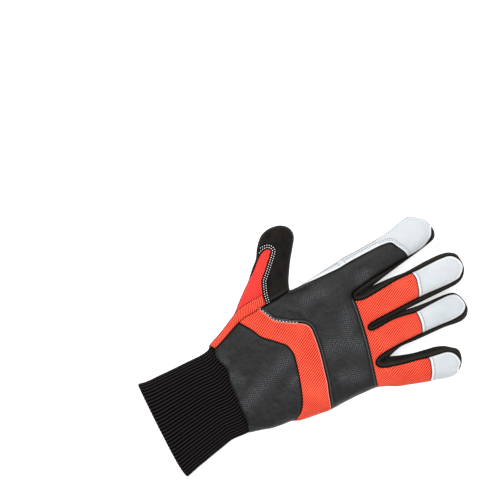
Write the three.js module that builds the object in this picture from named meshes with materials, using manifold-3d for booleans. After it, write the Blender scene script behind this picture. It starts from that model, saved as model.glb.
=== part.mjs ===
// A right-hand protective work glove with a knitted cuff, lying palm down.
// Millimetres. +Z is up out of the back of the hand, +Y runs along the middle finger, +X towards the little
// finger. The origin is on the flat underside of the palm.
import * as THREE from "three";
import { mergeVertices } from "three/addons/utils/BufferGeometryUtils.js";
import Module from "manifold-3d";

const wasm = await Module();
wasm.setup();

// Driving sizes of the hand part
const HAND_WIDTH = 112; // over the knuckles
const HAND_LENGTH = 130; // from the cuff's seam to the foot of the middle finger
const WRIST_Y = -70; // where the cuff's seam crosses the back
const SIDE_SEAM_HEIGHT = 10; // the height at which back and palm meet
const BACK_RISE = 15.5; // from the side seam to the top of the back
const PALM_DROP = 11; // from the side seam down, before the palm lies flat
const THUMB_LENGTH = 91.5;
const THUMB_WIDTH = 32;
const THUMB_RISE = 12;
const INDEX_LENGTH = 91.5;
const INDEX_WIDTH = 31;
const MIDDLE_LENGTH = 100.5;
const MIDDLE_WIDTH = 30;
const RING_LENGTH = 91;
const RING_WIDTH = 28;
const LITTLE_LENGTH = 77.5;
const LITTLE_WIDTH = 28;
const FINGER_RISE = 11;

// Driving sizes of the cuff
const CUFF_LENGTH = 71.5; // from its seam on the back to its open end
const CUFF_WIDTH = 84;
const CUFF_RISE = 11;
const CUFF_RIBS = 54;
const RIB_DEPTH = 0.9;

// Driving sizes of the material
const LEATHER_WALL = 2;
const KNIT_WALL = 2.2; // under the ribs
const SEAM_GAP = 0.3;
const QUILT_WIDTH = 1.8;
const QUILT_DEPTH = 0.8;
const FOURCHETTE_SHARE = 0.74; // how much of a finger's half width its back panel covers
const TIP_STRIP = 3.5; // the fourchette's width round a fingertip

// How round the sections are: 2 is an ellipse, and more is squarer
const BODY_SQUARENESS = 2.5;
const FINGER_SQUARENESS = 2.25;
const TIP_SQUARENESS = 2.4;
const BODY_SIDES = 24;
const FINGER_SIDES = 14;
const TIP_RINGS = 4;
const LAST_TIP_RING = 0.92; // how far round the fingertip its last ring stands
const ARCH_STEPS = 60; // how finely a section is measured before its points are spaced
const WEB_DEPTH = 4; // how far the web between the fingers bulges
const WEB_SHARE = 0.55; // the rise of the web between the fingers as a share of the back's
const OVERRUN = 20; // how far a cutting solid runs past what it cuts
const FAR = 600; // well outside the glove

// Plan tables. x is a share of HAND_WIDTH, and y is a share of HAND_LENGTH from the cuff's seam.

// The hand's outline: left edge, right edge, and the rise as a share of BACK_RISE
const HAND_ROWS = [
  { left: [-0.29, -0.17], right: [0.42, -0.17], rise: 0.72 },
  { left: [-0.315, -0.02], right: [0.43, -0.02], rise: 0.8 },
  { left: [-0.357, 0.092], right: [0.469, 0.092], rise: 0.88 },
  { left: [-0.437, 0.246], right: [0.509, 0.25], rise: 0.95 },
  { left: [-0.446, 0.385], right: [0.536, 0.4], rise: 1 },
  { left: [-0.429, 0.538], right: [0.554, 0.538], rise: 1 },
  { left: [-0.413, 0.692], right: [0.554, 0.68], rise: 0.95 },
  { left: [-0.43, 0.846], right: [0.562, 0.82], rise: 0.87 },
  { left: [-0.452, 0.98], right: [0.59, 0.9], rise: 0.76 },
];

// Seams across the back and the palm, from the thumb's side to the little finger's
const CUFF_SEAM_BACK = [
  [-0.45, 0.06],
  [-0.3, -0.02],
  [-0.223, 0.004],
  [-0.134, 0.023],
  [0, 0.012],
  [0.223, -0.004],
  [0.45, -0.03],
];
const CUFF_SEAM_PALM = [
  [-0.36, -0.01],
  [-0.286, -0.023],
  [-0.179, -0.054],
  [0, -0.085],
  [0.223, -0.077],
  [0.313, -0.088],
  [0.45, -0.115],
];
const CHEVRON_LOW = [
  [-0.43, 0.2],
  [-0.366, 0.243],
  [-0.268, 0.3],
  [-0.196, 0.331],
  [-0.107, 0.404],
  [-0.027, 0.459],
  [0.045, 0.469],
  [0.223, 0.438],
  [0.357, 0.392],
  [0.438, 0.354],
  [0.518, 0.281],
  [0.643, 0.154],
];
const CHEVRON_TOP = [
  [-0.45, 0.385],
  [-0.384, 0.408],
  [-0.33, 0.427],
  [-0.268, 0.458],
  [-0.223, 0.5],
  [-0.17, 0.573],
  [-0.121, 0.633],
  [-0.062, 0.648],
  [0.045, 0.642],
  [0.223, 0.612],
  [0.402, 0.572],
  [0.562, 0.527],
  [0.661, 0.5],
];
// The knuckle panel's edge: up the outer side of the index finger, over it, and across the other fingers
const KNUCKLE_EDGE = [
  [-0.55, 0.66],
  [-0.425, 0.7],
  [-0.409, 0.8],
  [-0.398, 1],
  [-0.402, 1.231],
  [-0.402, 1.385],
  [-0.357, 1.413],
  [-0.304, 1.435],
  [-0.228, 1.452],
  [-0.161, 1.458],
  [-0.172, 1.002],
  [-0.089, 0.992],
  [0.089, 0.969],
  [0.268, 0.937],
  [0.446, 0.895],
  [0.571, 0.865],
  [0.679, 0.838],
];
// The line between the index finger's leather and the other fingers' fabric
const INDEX_DIVIDE = [
  [-0.16, 1.6],
  [-0.16, 0.8],
];
// The edge of the three fingertip caps
const CAP_SEAM = [
  [-0.17, 1.425],
  [-0.054, 1.431],
  [0.045, 1.408],
  [0.134, 1.385],
  [0.179, 1.331],
  [0.286, 1.323],
  [0.42, 1.285],
  [0.5, 1.262],
  [0.607, 1.254],
  [0.661, 1.231],
  [0.78, 1.17],
];
// The foot of the strips between the fingers
const WEB = [
  [-0.55, 0.99],
  [-0.15, 0.985],
  [0.125, 0.992],
  [0.397, 0.935],
  [0.571, 0.877],
  [0.7, 0.83],
];
// The palm patch's edge towards the fingers
const PATCH_TOP = [
  [-0.536, 1.04],
  [-0.438, 1.004],
  [-0.268, 0.973],
  [-0.089, 0.942],
  [0.089, 0.923],
  [0.268, 0.892],
  [0.402, 0.858],
  [0.643, 0.8],
];
const QUILT_LINES = [
  [
    [-0.402, 0.788],
    [0, 0.758],
    [0.268, 0.715],
    [0.554, 0.658],
  ],
  [
    [-0.35, 0.62],
    [-0.179, 0.604],
    [0, 0.569],
    [0.179, 0.527],
    [0.509, 0.438],
  ],
  [
    [-0.232, 0.385],
    [0, 0.315],
    [0.268, 0.262],
    [0.509, 0.204],
  ],
  [
    [-0.205, 0.154],
    [0, 0.1],
    [0.223, 0.046],
    [0.43, -0.015],
  ],
];

// Seams along the hand, from the fingers' side down to the wrist
const THUMB_ROOT = [
  [-0.625, 0.846],
  [-0.446, 0.669],
  [-0.413, 0.631],
  [-0.404, 0.538],
  [-0.402, 0.458],
  [-0.393, 0.385],
  [-0.382, 0.308],
  [-0.366, 0.246],
  [-0.339, 0.169],
  [-0.308, 0.092],
  [-0.272, 0.015],
  [-0.232, -0.092],
];
const STRAP_LEFT = [
  [-0.482, 0.5],
  [-0.478, 0.354],
  [-0.455, 0.262],
  [-0.405, 0.14],
];
const THUMB_SEAM = [
  [-0.625, 0.846],
  [-0.446, 0.669],
  [-0.384, 0.608],
  [-0.33, 0.581],
  [-0.295, 0.538],
  [-0.268, 0.469],
  [-0.254, 0.385],
  [-0.241, 0.192],
  [-0.228, 0],
  [-0.223, -0.192],
];
// The lower edge of the thumb's back, round the gusset's tip to the strap
const THUMB_BACK_LOW = [
  [-0.83, 0.42],
  [-0.75, 0.531],
  [-0.782, 0.6],
  [-0.773, 0.646],
  [-0.732, 0.638],
  [-0.67, 0.585],
  [-0.607, 0.523],
  [-0.536, 0.492],
  [-0.464, 0.467],
  [-0.402, 0.458],
  [-0.34, 0.455],
];

// Each stall starts inside the hand. A row gives the place along the stall as a share of its length, the left
// and right edges as shares of its width, and the rise and drop as shares of its highest and of PALM_DROP.
const STALLS = {
  index: {
    root: [-0.299, 0.985],
    lean: 5,
    length: INDEX_LENGTH,
    width: INDEX_WIDTH,
    rise: FINGER_RISE,
    rows: [
      { along: -0.12, left: -0.45, right: 0.5, rise: 0.6, drop: 0.6 },
      { along: 0.1, left: -0.53, right: 0.61, rise: 1.05, drop: 1 },
      { along: 0.24, left: -0.5, right: 0.58, rise: 1, drop: 1 },
      { along: 0.47, left: -0.48, right: 0.52, rise: 0.96, drop: 1 },
      { along: 0.7, left: -0.49, right: 0.47, rise: 0.93, drop: 1 },
      { along: 0.84, left: -0.53, right: 0.45, rise: 0.9, drop: 1 },
    ],
  },
  middle: {
    root: [-0.004, 0.985],
    lean: 0.6,
    length: MIDDLE_LENGTH,
    width: MIDDLE_WIDTH,
    rise: FINGER_RISE,
    rows: [
      { along: -0.12, left: -0.56, right: 0.53, rise: 0.6, drop: 0.6 },
      { along: 0.1, left: -0.56, right: 0.53, rise: 1.08, drop: 1 },
      { along: 0.24, left: -0.54, right: 0.52, rise: 1.02, drop: 1 },
      { along: 0.42, left: -0.5, right: 0.5, rise: 0.97, drop: 1 },
      { along: 0.72, left: -0.48, right: 0.52, rise: 0.94, drop: 1 },
      { along: 0.85, left: -0.46, right: 0.52, rise: 0.9, drop: 1 },
    ],
  },
  ring: {
    root: [0.25, 0.954],
    lean: -1.9,
    length: RING_LENGTH,
    width: RING_WIDTH,
    rise: FINGER_RISE,
    rows: [
      { along: -0.12, left: -0.54, right: 0.56, rise: 0.6, drop: 0.6 },
      { along: 0.08, left: -0.54, right: 0.57, rise: 1.06, drop: 1 },
      { along: 0.24, left: -0.51, right: 0.47, rise: 1, drop: 1 },
      { along: 0.48, left: -0.5, right: 0.46, rise: 0.96, drop: 1 },
      { along: 0.74, left: -0.46, right: 0.48, rise: 0.93, drop: 1 },
      { along: 0.86, left: -0.44, right: 0.51, rise: 0.9, drop: 1 },
    ],
  },
  little: {
    root: [0.482, 0.892],
    lean: -14.7,
    length: LITTLE_LENGTH,
    width: LITTLE_WIDTH,
    rise: FINGER_RISE,
    rows: [
      { along: -0.14, left: -0.52, right: 0.3, rise: 0.6, drop: 0.6 },
      { along: 0.1, left: -0.52, right: 0.4, rise: 1, drop: 1 },
      { along: 0.22, left: -0.51, right: 0.45, rise: 0.97, drop: 1 },
      { along: 0.36, left: -0.47, right: 0.475, rise: 0.94, drop: 1 },
      { along: 0.58, left: -0.475, right: 0.52, rise: 0.92, drop: 1 },
      { along: 0.79, left: -0.49, right: 0.53, rise: 0.88, drop: 1 },
    ],
  },
  thumb: {
    root: [-0.196, 0.4],
    lean: 58.6,
    length: THUMB_LENGTH,
    width: THUMB_WIDTH,
    rise: THUMB_RISE,
    rows: [
      { along: 0, left: -0.8, right: 0.4, rise: 0.9, drop: 0.8 },
      { along: 0.14, left: -1, right: 0.42, rise: 1.05, drop: 1 },
      { along: 0.32, left: -0.84, right: 0.41, rise: 1.03, drop: 1 },
      { along: 0.48, left: -0.69, right: 0.4, rise: 1, drop: 1 },
      { along: 0.65, left: -0.55, right: 0.41, rise: 0.97, drop: 1 },
      { along: 0.84, left: -0.5, right: 0.455, rise: 0.93, drop: 1 },
    ],
  },
};

// The cuff's outline: y as a share of CUFF_LENGTH down from the seam, edges as shares of CUFF_WIDTH, and the rise
// as a share of CUFF_RISE
const CUFF_ROWS = [
  { down: 1, left: -0.405, right: 0.66, rise: 0.95 },
  { down: 0.92, left: -0.39, right: 0.675, rise: 0.93 },
  { down: 0.7, left: -0.38, right: 0.625, rise: 0.93 },
  { down: 0.42, left: -0.375, right: 0.57, rise: 0.97 },
  { down: 0.12, left: -0.37, right: 0.56, rise: 1.04 },
  { down: -0.15, left: -0.42, right: 0.585, rise: 1.1 },
];

// A plan table in millimetres
const placed = (table) =>
  table.map(([x, y]) => new THREE.Vector2(x * HAND_WIDTH, WRIST_Y + y * HAND_LENGTH));

// A closed three.js geometry as a solid that can be joined and cut
function solid(geometry) {
  const bare = geometry.clone();
  bare.deleteAttribute("normal");
  bare.deleteAttribute("uv");
  const merged = mergeVertices(bare, 1e-4);
  return new wasm.Manifold(
    new wasm.Mesh({
      numProp: 3,
      vertProperties: merged.attributes.position.array,
      triVerts: new Uint32Array(merged.index.array),
    }),
  );
}

// A solid skinned over rings of as many points each, which turn from the right over the top
function loft(rings) {
  const sides = rings[0].length;
  const centre = (ring) =>
    ring.reduce((sum, point) => sum.add(point), new THREE.Vector3()).divideScalar(sides);
  const points = [...rings.flat(), centre(rings[0]), centre(rings.at(-1))];
  const first = points.length - 2;
  const last = points.length - 1;
  const top = (rings.length - 1) * sides;
  const faces = [];
  for (let j = 0; j < sides; j += 1) {
    const k = (j + 1) % sides;
    faces.push(first, j, k);
    faces.push(last, top + k, top + j);
    for (let i = 0; i < top; i += sides) {
      faces.push(i + j, i + j + sides, i + k + sides);
      faces.push(i + j, i + k + sides, i + k);
    }
  }
  const geometry = new THREE.BufferGeometry().setFromPoints(points);
  geometry.setIndex(faces);
  return solid(geometry);
}

// Points spaced evenly along half of a superellipse, from its right edge over its top to its left edge
function arch(half, rise, squareness, sides) {
  const bend = (value) => Math.sign(value) * Math.abs(value) ** (2 / squareness);
  const curve = new THREE.CurvePath();
  const point = (turn) => new THREE.Vector2(half * bend(Math.cos(turn)), rise * bend(Math.sin(turn)));
  for (let i = 0; i < ARCH_STEPS; i += 1) {
    const [from, to] = [i, i + 1].map((step) => point((Math.PI * step) / ARCH_STEPS));
    curve.add(new THREE.LineCurve(from, to));
  }
  return Array.from({ length: sides }, (_, j) => curve.getPoint(j / sides));
}

// One ring of a rounded section that stands on the line from left to right
function section(left, right, rise, drop, squareness, sides, ribDepth = 0) {
  const half = left.distanceTo(right) / 2;
  const top = arch(half, rise, squareness, sides / 2);
  const under = arch(half, drop, squareness, sides / 2).map((point) => point.negate());
  return [...top, ...under].map((point, j) => {
    const ribbed = point.setLength(point.length() - (j % 2 ? ribDepth : 0));
    const place = left.clone().lerp(right, 0.5 + ribbed.x / (2 * half));
    return new THREE.Vector3(place.x, place.y, SIDE_SEAM_HEIGHT + ribbed.y);
  });
}

// How much of its width a stall keeps at a share of the way through its rounded tip
const tipShare = (share) => (1 - share ** TIP_SQUARENESS) ** (1 / TIP_SQUARENESS);

// The stations of a stall, inset by a wall: place along it, left and right edge, and rise
function stations(stall, inset) {
  const rows = stall.rows.map((row) => ({
    along: row.along * stall.length,
    left: row.left * stall.width + inset,
    right: row.right * stall.width - inset,
    rise: row.rise * stall.rise - inset,
    drop: row.drop * PALM_DROP - inset,
  }));
  const end = rows.at(-1);
  const reach = stall.length - inset - end.along;
  const middle = (end.left + end.right) / 2;
  for (let i = 1; i <= TIP_RINGS; i += 1) {
    const share = Math.sin((i / TIP_RINGS) * LAST_TIP_RING * (Math.PI / 2));
    const keep = tipShare(share);
    rows.push({
      along: end.along + reach * share,
      left: middle + (end.left - middle) * keep,
      right: middle + (end.right - middle) * keep,
      rise: end.rise * keep,
      drop: end.drop * keep,
    });
  }
  return rows;
}

// A point in plan at a place along a stall and an offset to its right
function onStall(stall, along, offset) {
  const [root] = placed([stall.root]);
  const lean = THREE.MathUtils.degToRad(stall.lean);
  const ahead = new THREE.Vector2(-Math.sin(lean), Math.cos(lean));
  const right = new THREE.Vector2(Math.cos(lean), Math.sin(lean));
  return root.addScaledVector(ahead, along).addScaledVector(right, offset);
}

const stallSolid = (stall, inset) =>
  loft(
    stations(stall, inset).map((row) =>
      section(
        onStall(stall, row.along, row.left),
        onStall(stall, row.along, row.right),
        row.rise,
        row.drop,
        FINGER_SQUARENESS,
        FINGER_SIDES,
      ),
    ),
  );

// The hand without its fingers, inset by a wall; the inner one runs out at the wrist
function handSolid(inset) {
  const rows = HAND_ROWS.map(({ left, right, rise }) => {
    const [from, to] = placed([left, right]);
    return { from, to, rise: rise * BACK_RISE, drop: PALM_DROP };
  });
  const end = rows.at(-1);
  const bulge = WEB_DEPTH - inset;
  rows.push({
    from: end.from.clone().add(new THREE.Vector2(WEB_DEPTH, bulge)),
    to: end.to.clone().add(new THREE.Vector2(-WEB_DEPTH, bulge)),
    rise: end.rise * WEB_SHARE,
    drop: end.drop * WEB_SHARE,
  });
  rows[0].from.y -= inset;
  rows[0].to.y -= inset;
  return loft(
    rows.map(({ from, to, rise, drop }) => {
      const inward = to.clone().sub(from).setLength(inset);
      return section(
        from.clone().add(inward),
        to.clone().sub(inward),
        rise - inset,
        drop - inset,
        BODY_SQUARENESS,
        BODY_SIDES,
      );
    }),
  );
}

// A vertical solid over a plan outline
function prism(outline, low = -OVERRUN, high = 4 * OVERRUN) {
  const geometry = new THREE.ExtrudeGeometry(new THREE.Shape(outline), {
    depth: high - low,
    bevelEnabled: false,
  });
  return solid(geometry.translate(0, 0, low));
}

// A plan line moved sideways, to the left of its travel
const shifted = (line, distance) =>
  line.map((point, i) => {
    const before = line[Math.max(i - 1, 0)];
    const after = line[Math.min(i + 1, line.length - 1)];
    const along = after.clone().sub(before).normalize();
    return point.clone().add(new THREE.Vector2(-along.y, along.x).multiplyScalar(distance));
  });

// All that lies on one side of a seam, less half the seam's gap: side is 1 left of its travel and -1 right of it
function sideOf(table, side) {
  const line = shifted(placed(table), (side * SEAM_GAP) / 2);
  const along = line.at(-1).clone().sub(line[0]).setLength(FAR);
  const aside = new THREE.Vector2(-along.y, along.x).multiplyScalar(side);
  const start = line[0].clone().sub(along);
  const end = line.at(-1).clone().add(along);
  return prism([start, ...line, end, end.clone().add(aside), start.clone().add(aside)]);
}
const above = (table) => sideOf(table, 1);
const below = (table) => sideOf(table, -1);
const rightOf = (table) => sideOf(table, 1);
const leftOf = (table) => sideOf(table, -1);

// The plan of a finger's panels: which sides the fourchette leaves free, and how far it grows for the seam's gap
function stallPlan(stall, coversLeft, coversRight, coversTip, grow) {
  const reach = (covered) => (covered ? 1 + FOURCHETTE_SHARE : FOURCHETTE_SHARE);
  const rows = stations(stall, 0);
  const stretch = (stall.length - (coversTip ? -OVERRUN : TIP_STRIP) + grow) / stall.length;
  const edge = (row, covered, side) => {
    const middle = (row.left + row.right) / 2;
    const half = (row.right - row.left) / 2;
    return onStall(stall, row.along * stretch, middle + side * (half * reach(covered) + grow));
  };
  const left = rows.map((row) => edge(row, coversLeft, -1));
  const right = rows.map((row) => edge(row, coversRight, 1));
  return prism([...right, ...left.reverse()]);
}
const { index, middle, ring, little } = STALLS;
const panels = (grow) => ({
  index: stallPlan(index, true, false, true, grow),
  middle: stallPlan(middle, false, false, false, grow),
  ring: stallPlan(ring, false, false, false, grow),
  little: stallPlan(little, false, true, false, grow),
});

// The part of the plan between the middle lines of two neighbouring fingers
function between(near, far) {
  const out = 2 * OVERRUN;
  return prism([
    onStall(near, -out, SEAM_GAP / 2),
    onStall(far, -out, -SEAM_GAP / 2),
    onStall(far, far.length + out, -SEAM_GAP / 2),
    onStall(near, near.length + out, SEAM_GAP / 2),
  ]);
}

const all = (solids) => solids.reduce((sum, next) => sum.add(next));
const slab = (low, high) =>
  prism(
    [
      [-FAR, -FAR],
      [FAR, -FAR],
      [FAR, FAR],
      [-FAR, FAR],
    ].map(([x, y]) => new THREE.Vector2(x, y)),
    low,
    high,
  );

// The hand's hollow skin, flat where it rests, and its halves above and below the side seam
const outer = all([handSolid(0), ...Object.values(STALLS).map((stall) => stallSolid(stall, 0))]);
const inner = all([
  handSolid(LEATHER_WALL),
  ...Object.values(STALLS).map((stall) => stallSolid(stall, LEATHER_WALL)),
]);
const skin = outer
  .intersect(slab(0, 4 * OVERRUN))
  .subtract(inner.intersect(slab(LEATHER_WALL, 4 * OVERRUN)));
const handPlan = below(WEB);
const panel = panels(0);
const paneled = skin.intersect(all([handPlan, ...Object.values(panel)]));
const backHalf = slab(SIDE_SEAM_HEIGHT + SEAM_GAP / 2, 4 * OVERRUN);
const palmHalf = slab(-OVERRUN, SIDE_SEAM_HEIGHT - SEAM_GAP / 2);
const back = paneled.intersect(backHalf);
const palm = paneled.intersect(palmHalf);

// The back of the hand
const backHand = back.intersect(rightOf(THUMB_ROOT));
const wristPanel = () => backHand.intersect(above(CUFF_SEAM_BACK)).intersect(below(CHEVRON_LOW));
const chevronBand = () => backHand.intersect(above(CHEVRON_LOW)).intersect(below(CHEVRON_TOP));
const knucklePanel = () => backHand.intersect(above(CHEVRON_TOP)).intersect(below(KNUCKLE_EDGE));
const beyondKnuckles = backHand.intersect(above(KNUCKLE_EDGE));
const fingersPanel = () => beyondKnuckles.intersect(rightOf(INDEX_DIVIDE)).intersect(below(CAP_SEAM));
const indexCap = () => beyondKnuckles.intersect(leftOf(INDEX_DIVIDE));
const tipCap = (name) => beyondKnuckles.intersect(panel[name]).intersect(above(CAP_SEAM));

// The strips between the fingers
const webFoot = WEB.map(([x, y]) => [x, y + SEAM_GAP / HAND_LENGTH]);
const strips = skin.subtract(all([below(webFoot), ...Object.values(panels(SEAM_GAP))]));
const fourchette = (near, far) => strips.intersect(between(near, far));

// The thumb
const backThumb = back.intersect(leftOf(THUMB_ROOT)).intersect(above(CUFF_SEAM_BACK));
const thumbBack = () => backThumb.intersect(above(THUMB_BACK_LOW));
const gusset = () => backThumb.intersect(below(THUMB_BACK_LOW)).intersect(leftOf(STRAP_LEFT));
const strap = () => backThumb.intersect(below(THUMB_BACK_LOW)).intersect(rightOf(STRAP_LEFT));

// The palm, with the patch's quilting lines pressed into its underside
const palmHand = palm.intersect(rightOf(THUMB_SEAM)).intersect(above(CUFF_SEAM_PALM));
function quilted(pad) {
  const grooves = QUILT_LINES.map((table) => {
    const line = placed(table);
    const outline = [...shifted(line, -QUILT_WIDTH / 2), ...shifted(line, QUILT_WIDTH / 2).reverse()];
    return prism(outline, -OVERRUN, QUILT_DEPTH);
  });
  return pad.subtract(all(grooves));
}
const patch = () => quilted(palmHand.intersect(below(PATCH_TOP)));
const palmLeather = () => palmHand.intersect(above(PATCH_TOP));
const thumbPalm = () => palm.intersect(leftOf(THUMB_SEAM)).intersect(above(CUFF_SEAM_PALM));

// The knitted cuff: a tube in lengthwise ribs, open at both ends
function cuff() {
  const tube = (inset, ribDepth, sides, overrun) =>
    loft(
      CUFF_ROWS.map((row, i) => {
        const end = i === 0 ? -overrun : i === CUFF_ROWS.length - 1 ? overrun : 0;
        const y = WRIST_Y - row.down * CUFF_LENGTH + end;
        return section(
          new THREE.Vector2(row.left * CUFF_WIDTH + inset, y),
          new THREE.Vector2(row.right * CUFF_WIDTH - inset, y),
          row.rise * CUFF_RISE - inset,
          PALM_DROP - inset,
          BODY_SQUARENESS,
          sides,
          ribDepth,
        );
      }),
    );
  const floor = slab(0, 4 * OVERRUN);
  const knit = tube(0, RIB_DEPTH, 2 * CUFF_RIBS, 0).intersect(floor);
  const hollow = tube(KNIT_WALL, 0, BODY_SIDES, OVERRUN).intersect(slab(KNIT_WALL, 4 * OVERRUN));
  const sleeve = knit.subtract(hollow);
  return all([
    sleeve.intersect(below(CUFF_SEAM_BACK)).intersect(slab(SIDE_SEAM_HEIGHT, 4 * OVERRUN)),
    sleeve.intersect(below(CUFF_SEAM_PALM)).intersect(slab(-OVERRUN, SIDE_SEAM_HEIGHT)),
  ]);
}

const MATERIALS = {
  leather: { color: "#333436", roughness: 0.6, metalness: 0 },
  whiteLeather: { color: "#e2e8ee", roughness: 0.55, metalness: 0 },
  fabric: { color: "#f0482f", roughness: 0.8, metalness: 0 },
  textile: { color: "#2b2724", roughness: 0.9, metalness: 0 },
  knit: { color: "#1d1517", roughness: 0.95, metalness: 0 },
};

const glove = new THREE.Group();
function addPiece(name, piece, material) {
  const { numProp, vertProperties, triVerts } = piece.getMesh();
  const geometry = new THREE.BufferGeometry();
  geometry.setAttribute("position", new THREE.BufferAttribute(vertProperties, numProp));
  geometry.setIndex(new THREE.BufferAttribute(triVerts, 1));
  geometry.computeVertexNormals();
  const mesh = new THREE.Mesh(geometry, new THREE.MeshStandardMaterial(MATERIALS[material]));
  mesh.name = name;
  glove.add(mesh);
}

addPiece("cuff", cuff(), "knit");
addPiece("back_wrist_panel", wristPanel(), "leather");
addPiece("back_chevron_band", chevronBand(), "fabric");
addPiece("back_knuckle_panel", knucklePanel(), "leather");
addPiece("back_fingers_panel", fingersPanel(), "fabric");
addPiece("index_tip_cap", indexCap(), "whiteLeather");
for (const name of ["middle", "ring", "little"]) {
  addPiece(name + "_tip_cap", tipCap(name), "whiteLeather");
}
addPiece("fourchette_index_middle", fourchette(index, middle), "textile");
addPiece("fourchette_middle_ring", fourchette(middle, ring), "textile");
addPiece("fourchette_ring_little", fourchette(ring, little), "textile");
addPiece("thumb_back", thumbBack(), "textile");
addPiece("thumb_gusset", gusset(), "fabric");
addPiece("thumb_strap", strap(), "fabric");
addPiece("palm_leather", palmLeather(), "whiteLeather");
addPiece("palm_patch", patch(), "whiteLeather");
addPiece("thumb_palm", thumbPalm(), "whiteLeather");

export default glove;
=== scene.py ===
"""A right-hand work glove lying palm down: leather and twill back, white palm, ribbed knit cuff."""

import math

import bpy
import numpy as np
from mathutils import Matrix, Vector, noise
from mathutils.bvhtree import BVHTree
from mathutils.geometry import delaunay_2d_cdt
from mathutils.kdtree import KDTree


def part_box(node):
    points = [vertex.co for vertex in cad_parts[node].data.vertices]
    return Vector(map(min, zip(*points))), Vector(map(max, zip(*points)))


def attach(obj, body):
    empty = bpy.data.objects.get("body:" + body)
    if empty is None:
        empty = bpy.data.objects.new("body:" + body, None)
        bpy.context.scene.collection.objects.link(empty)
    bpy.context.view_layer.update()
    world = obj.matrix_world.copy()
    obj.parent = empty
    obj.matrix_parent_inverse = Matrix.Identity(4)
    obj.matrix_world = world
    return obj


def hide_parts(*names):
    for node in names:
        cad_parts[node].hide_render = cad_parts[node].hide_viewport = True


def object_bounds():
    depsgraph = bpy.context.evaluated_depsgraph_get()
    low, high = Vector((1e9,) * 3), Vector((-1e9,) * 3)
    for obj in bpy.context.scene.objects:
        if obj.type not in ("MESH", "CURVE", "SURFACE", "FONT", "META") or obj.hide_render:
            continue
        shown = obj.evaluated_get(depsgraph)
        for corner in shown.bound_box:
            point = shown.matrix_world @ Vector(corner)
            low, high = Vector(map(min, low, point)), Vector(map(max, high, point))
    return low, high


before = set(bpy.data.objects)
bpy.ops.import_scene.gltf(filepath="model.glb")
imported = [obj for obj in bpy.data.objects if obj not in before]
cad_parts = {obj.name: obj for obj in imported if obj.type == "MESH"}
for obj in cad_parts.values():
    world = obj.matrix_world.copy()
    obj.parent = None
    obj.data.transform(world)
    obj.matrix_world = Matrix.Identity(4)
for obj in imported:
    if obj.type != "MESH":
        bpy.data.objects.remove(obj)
cad_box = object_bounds()

# The plan is drawn in millimetres on a glove of this width, and takes its real scale from the frame
PLAN_WIDTH = 188.3
MM = (cad_box[1][0] - cad_box[0][0]) / PLAN_WIDTH

# Heights in millimetres: of the side seam, of the back over it, and of the palm side below it
SEAM_OVER_PALM = 0.15
ROOM_FOR_LAPS = 1.2
ROOM_FOR_PAD = 1.0
SIDE_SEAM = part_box("palm_leather")[1].z / MM + SEAM_OVER_PALM
HAND_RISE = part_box("back_knuckle_panel")[1].z / MM - SIDE_SEAM - ROOM_FOR_LAPS
WRIST_RISE = 12.4
FINGER_RISE = 10.4
THUMB_RISE = 11.3
PALM_DROP = SIDE_SEAM - ROOM_FOR_PAD
PALM_OVER_CUFF = 1.6
LOWEST_COVER = 0.02
ROUNDNESS = 2.3

# How far in from the outline the glove is rounded, in millimetres
HAND_ROUND = 24
WRIST_ROUND = 19
FINGER_ROUND = 14
THUMB_ROUND = 15.5
WEB_ROUND = 8.5

# Stretches over which the hand's rounding and height turn into those of the fingers, thumb and wrist
TO_FINGERS = {"round": (45, 74), "rise": (30, 78)}
TO_THUMB = {"round": (46, 60), "rise": (40, 62)}
TO_WRIST = {"round": (30, 75), "rise": (15, 72)}
PAST_THUMB = (40, 50)
PALM_END = (60, 68)

# Stretches in from the outline over which seams and folds come up, and where the palm lifts by the cuff
RELIEF_FADE = (0, 2.5)
FOLD_FADE = (1, 9)
CUFF_FADE = (1, 9)

# Thicknesses and seam shapes in millimetres
LEATHER = 1.3
FABRIC = 1.1
PAD = 2
LAP = 0.75
LAP_EDGE = 0.6
LAP_HOLD = 2.2
PLAIN_HOLD = 0.2
UNDER_LAP = 0.2
UNDER_LAP_WIDTH = 1.2
TUCK = 1.3
TUCK_WIDTH = 0.8
GROOVE = 0.4
GROOVE_WIDTH = 0.5
HEM = 0.3
HEM_PLACE = 1.35
HEM_WIDTH = 0.8
FINE_LINE = 0.08

# Where the glove is gathered into the cuff: small puckers, and the tuck of the seam
PUCKER = 1.1
PUCKER_REACH = 5
PUCKER_SIZE = 3.4
PUCKER_STRETCH = (1, 0.35)
PUCKER_SEEDS = {True: 9, False: 14}
CUFF_TUCK = 1.1
CUFF_TUCK_WIDTH = 1.3

# Soft unevenness of the back
UNEVEN = 0.55
UNEVEN_SIZE = 17
UNEVEN_SEED = 3

# Fineness of the meshes in millimetres: rings of points beside the outline and seams, and a grid between
STEP = 0.75
GRID = 1.15
EDGE_RINGS = (0.03, 0.1, 0.25, 0.5, 0.9, 1.4, 2.0, 2.8)
SEAM_RINGS = (0.25, 0.6, 1.05, 1.6, 2.2, 2.8, 3.4)
SPARSE_RING = 1
RING_CLEARANCE = 0.9
GRID_CLEARANCE = 0.4
POINT_SPACING = 0.35
LEAST_SPACING = 0.02
MESH_TOLERANCE = 1e-3

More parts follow.
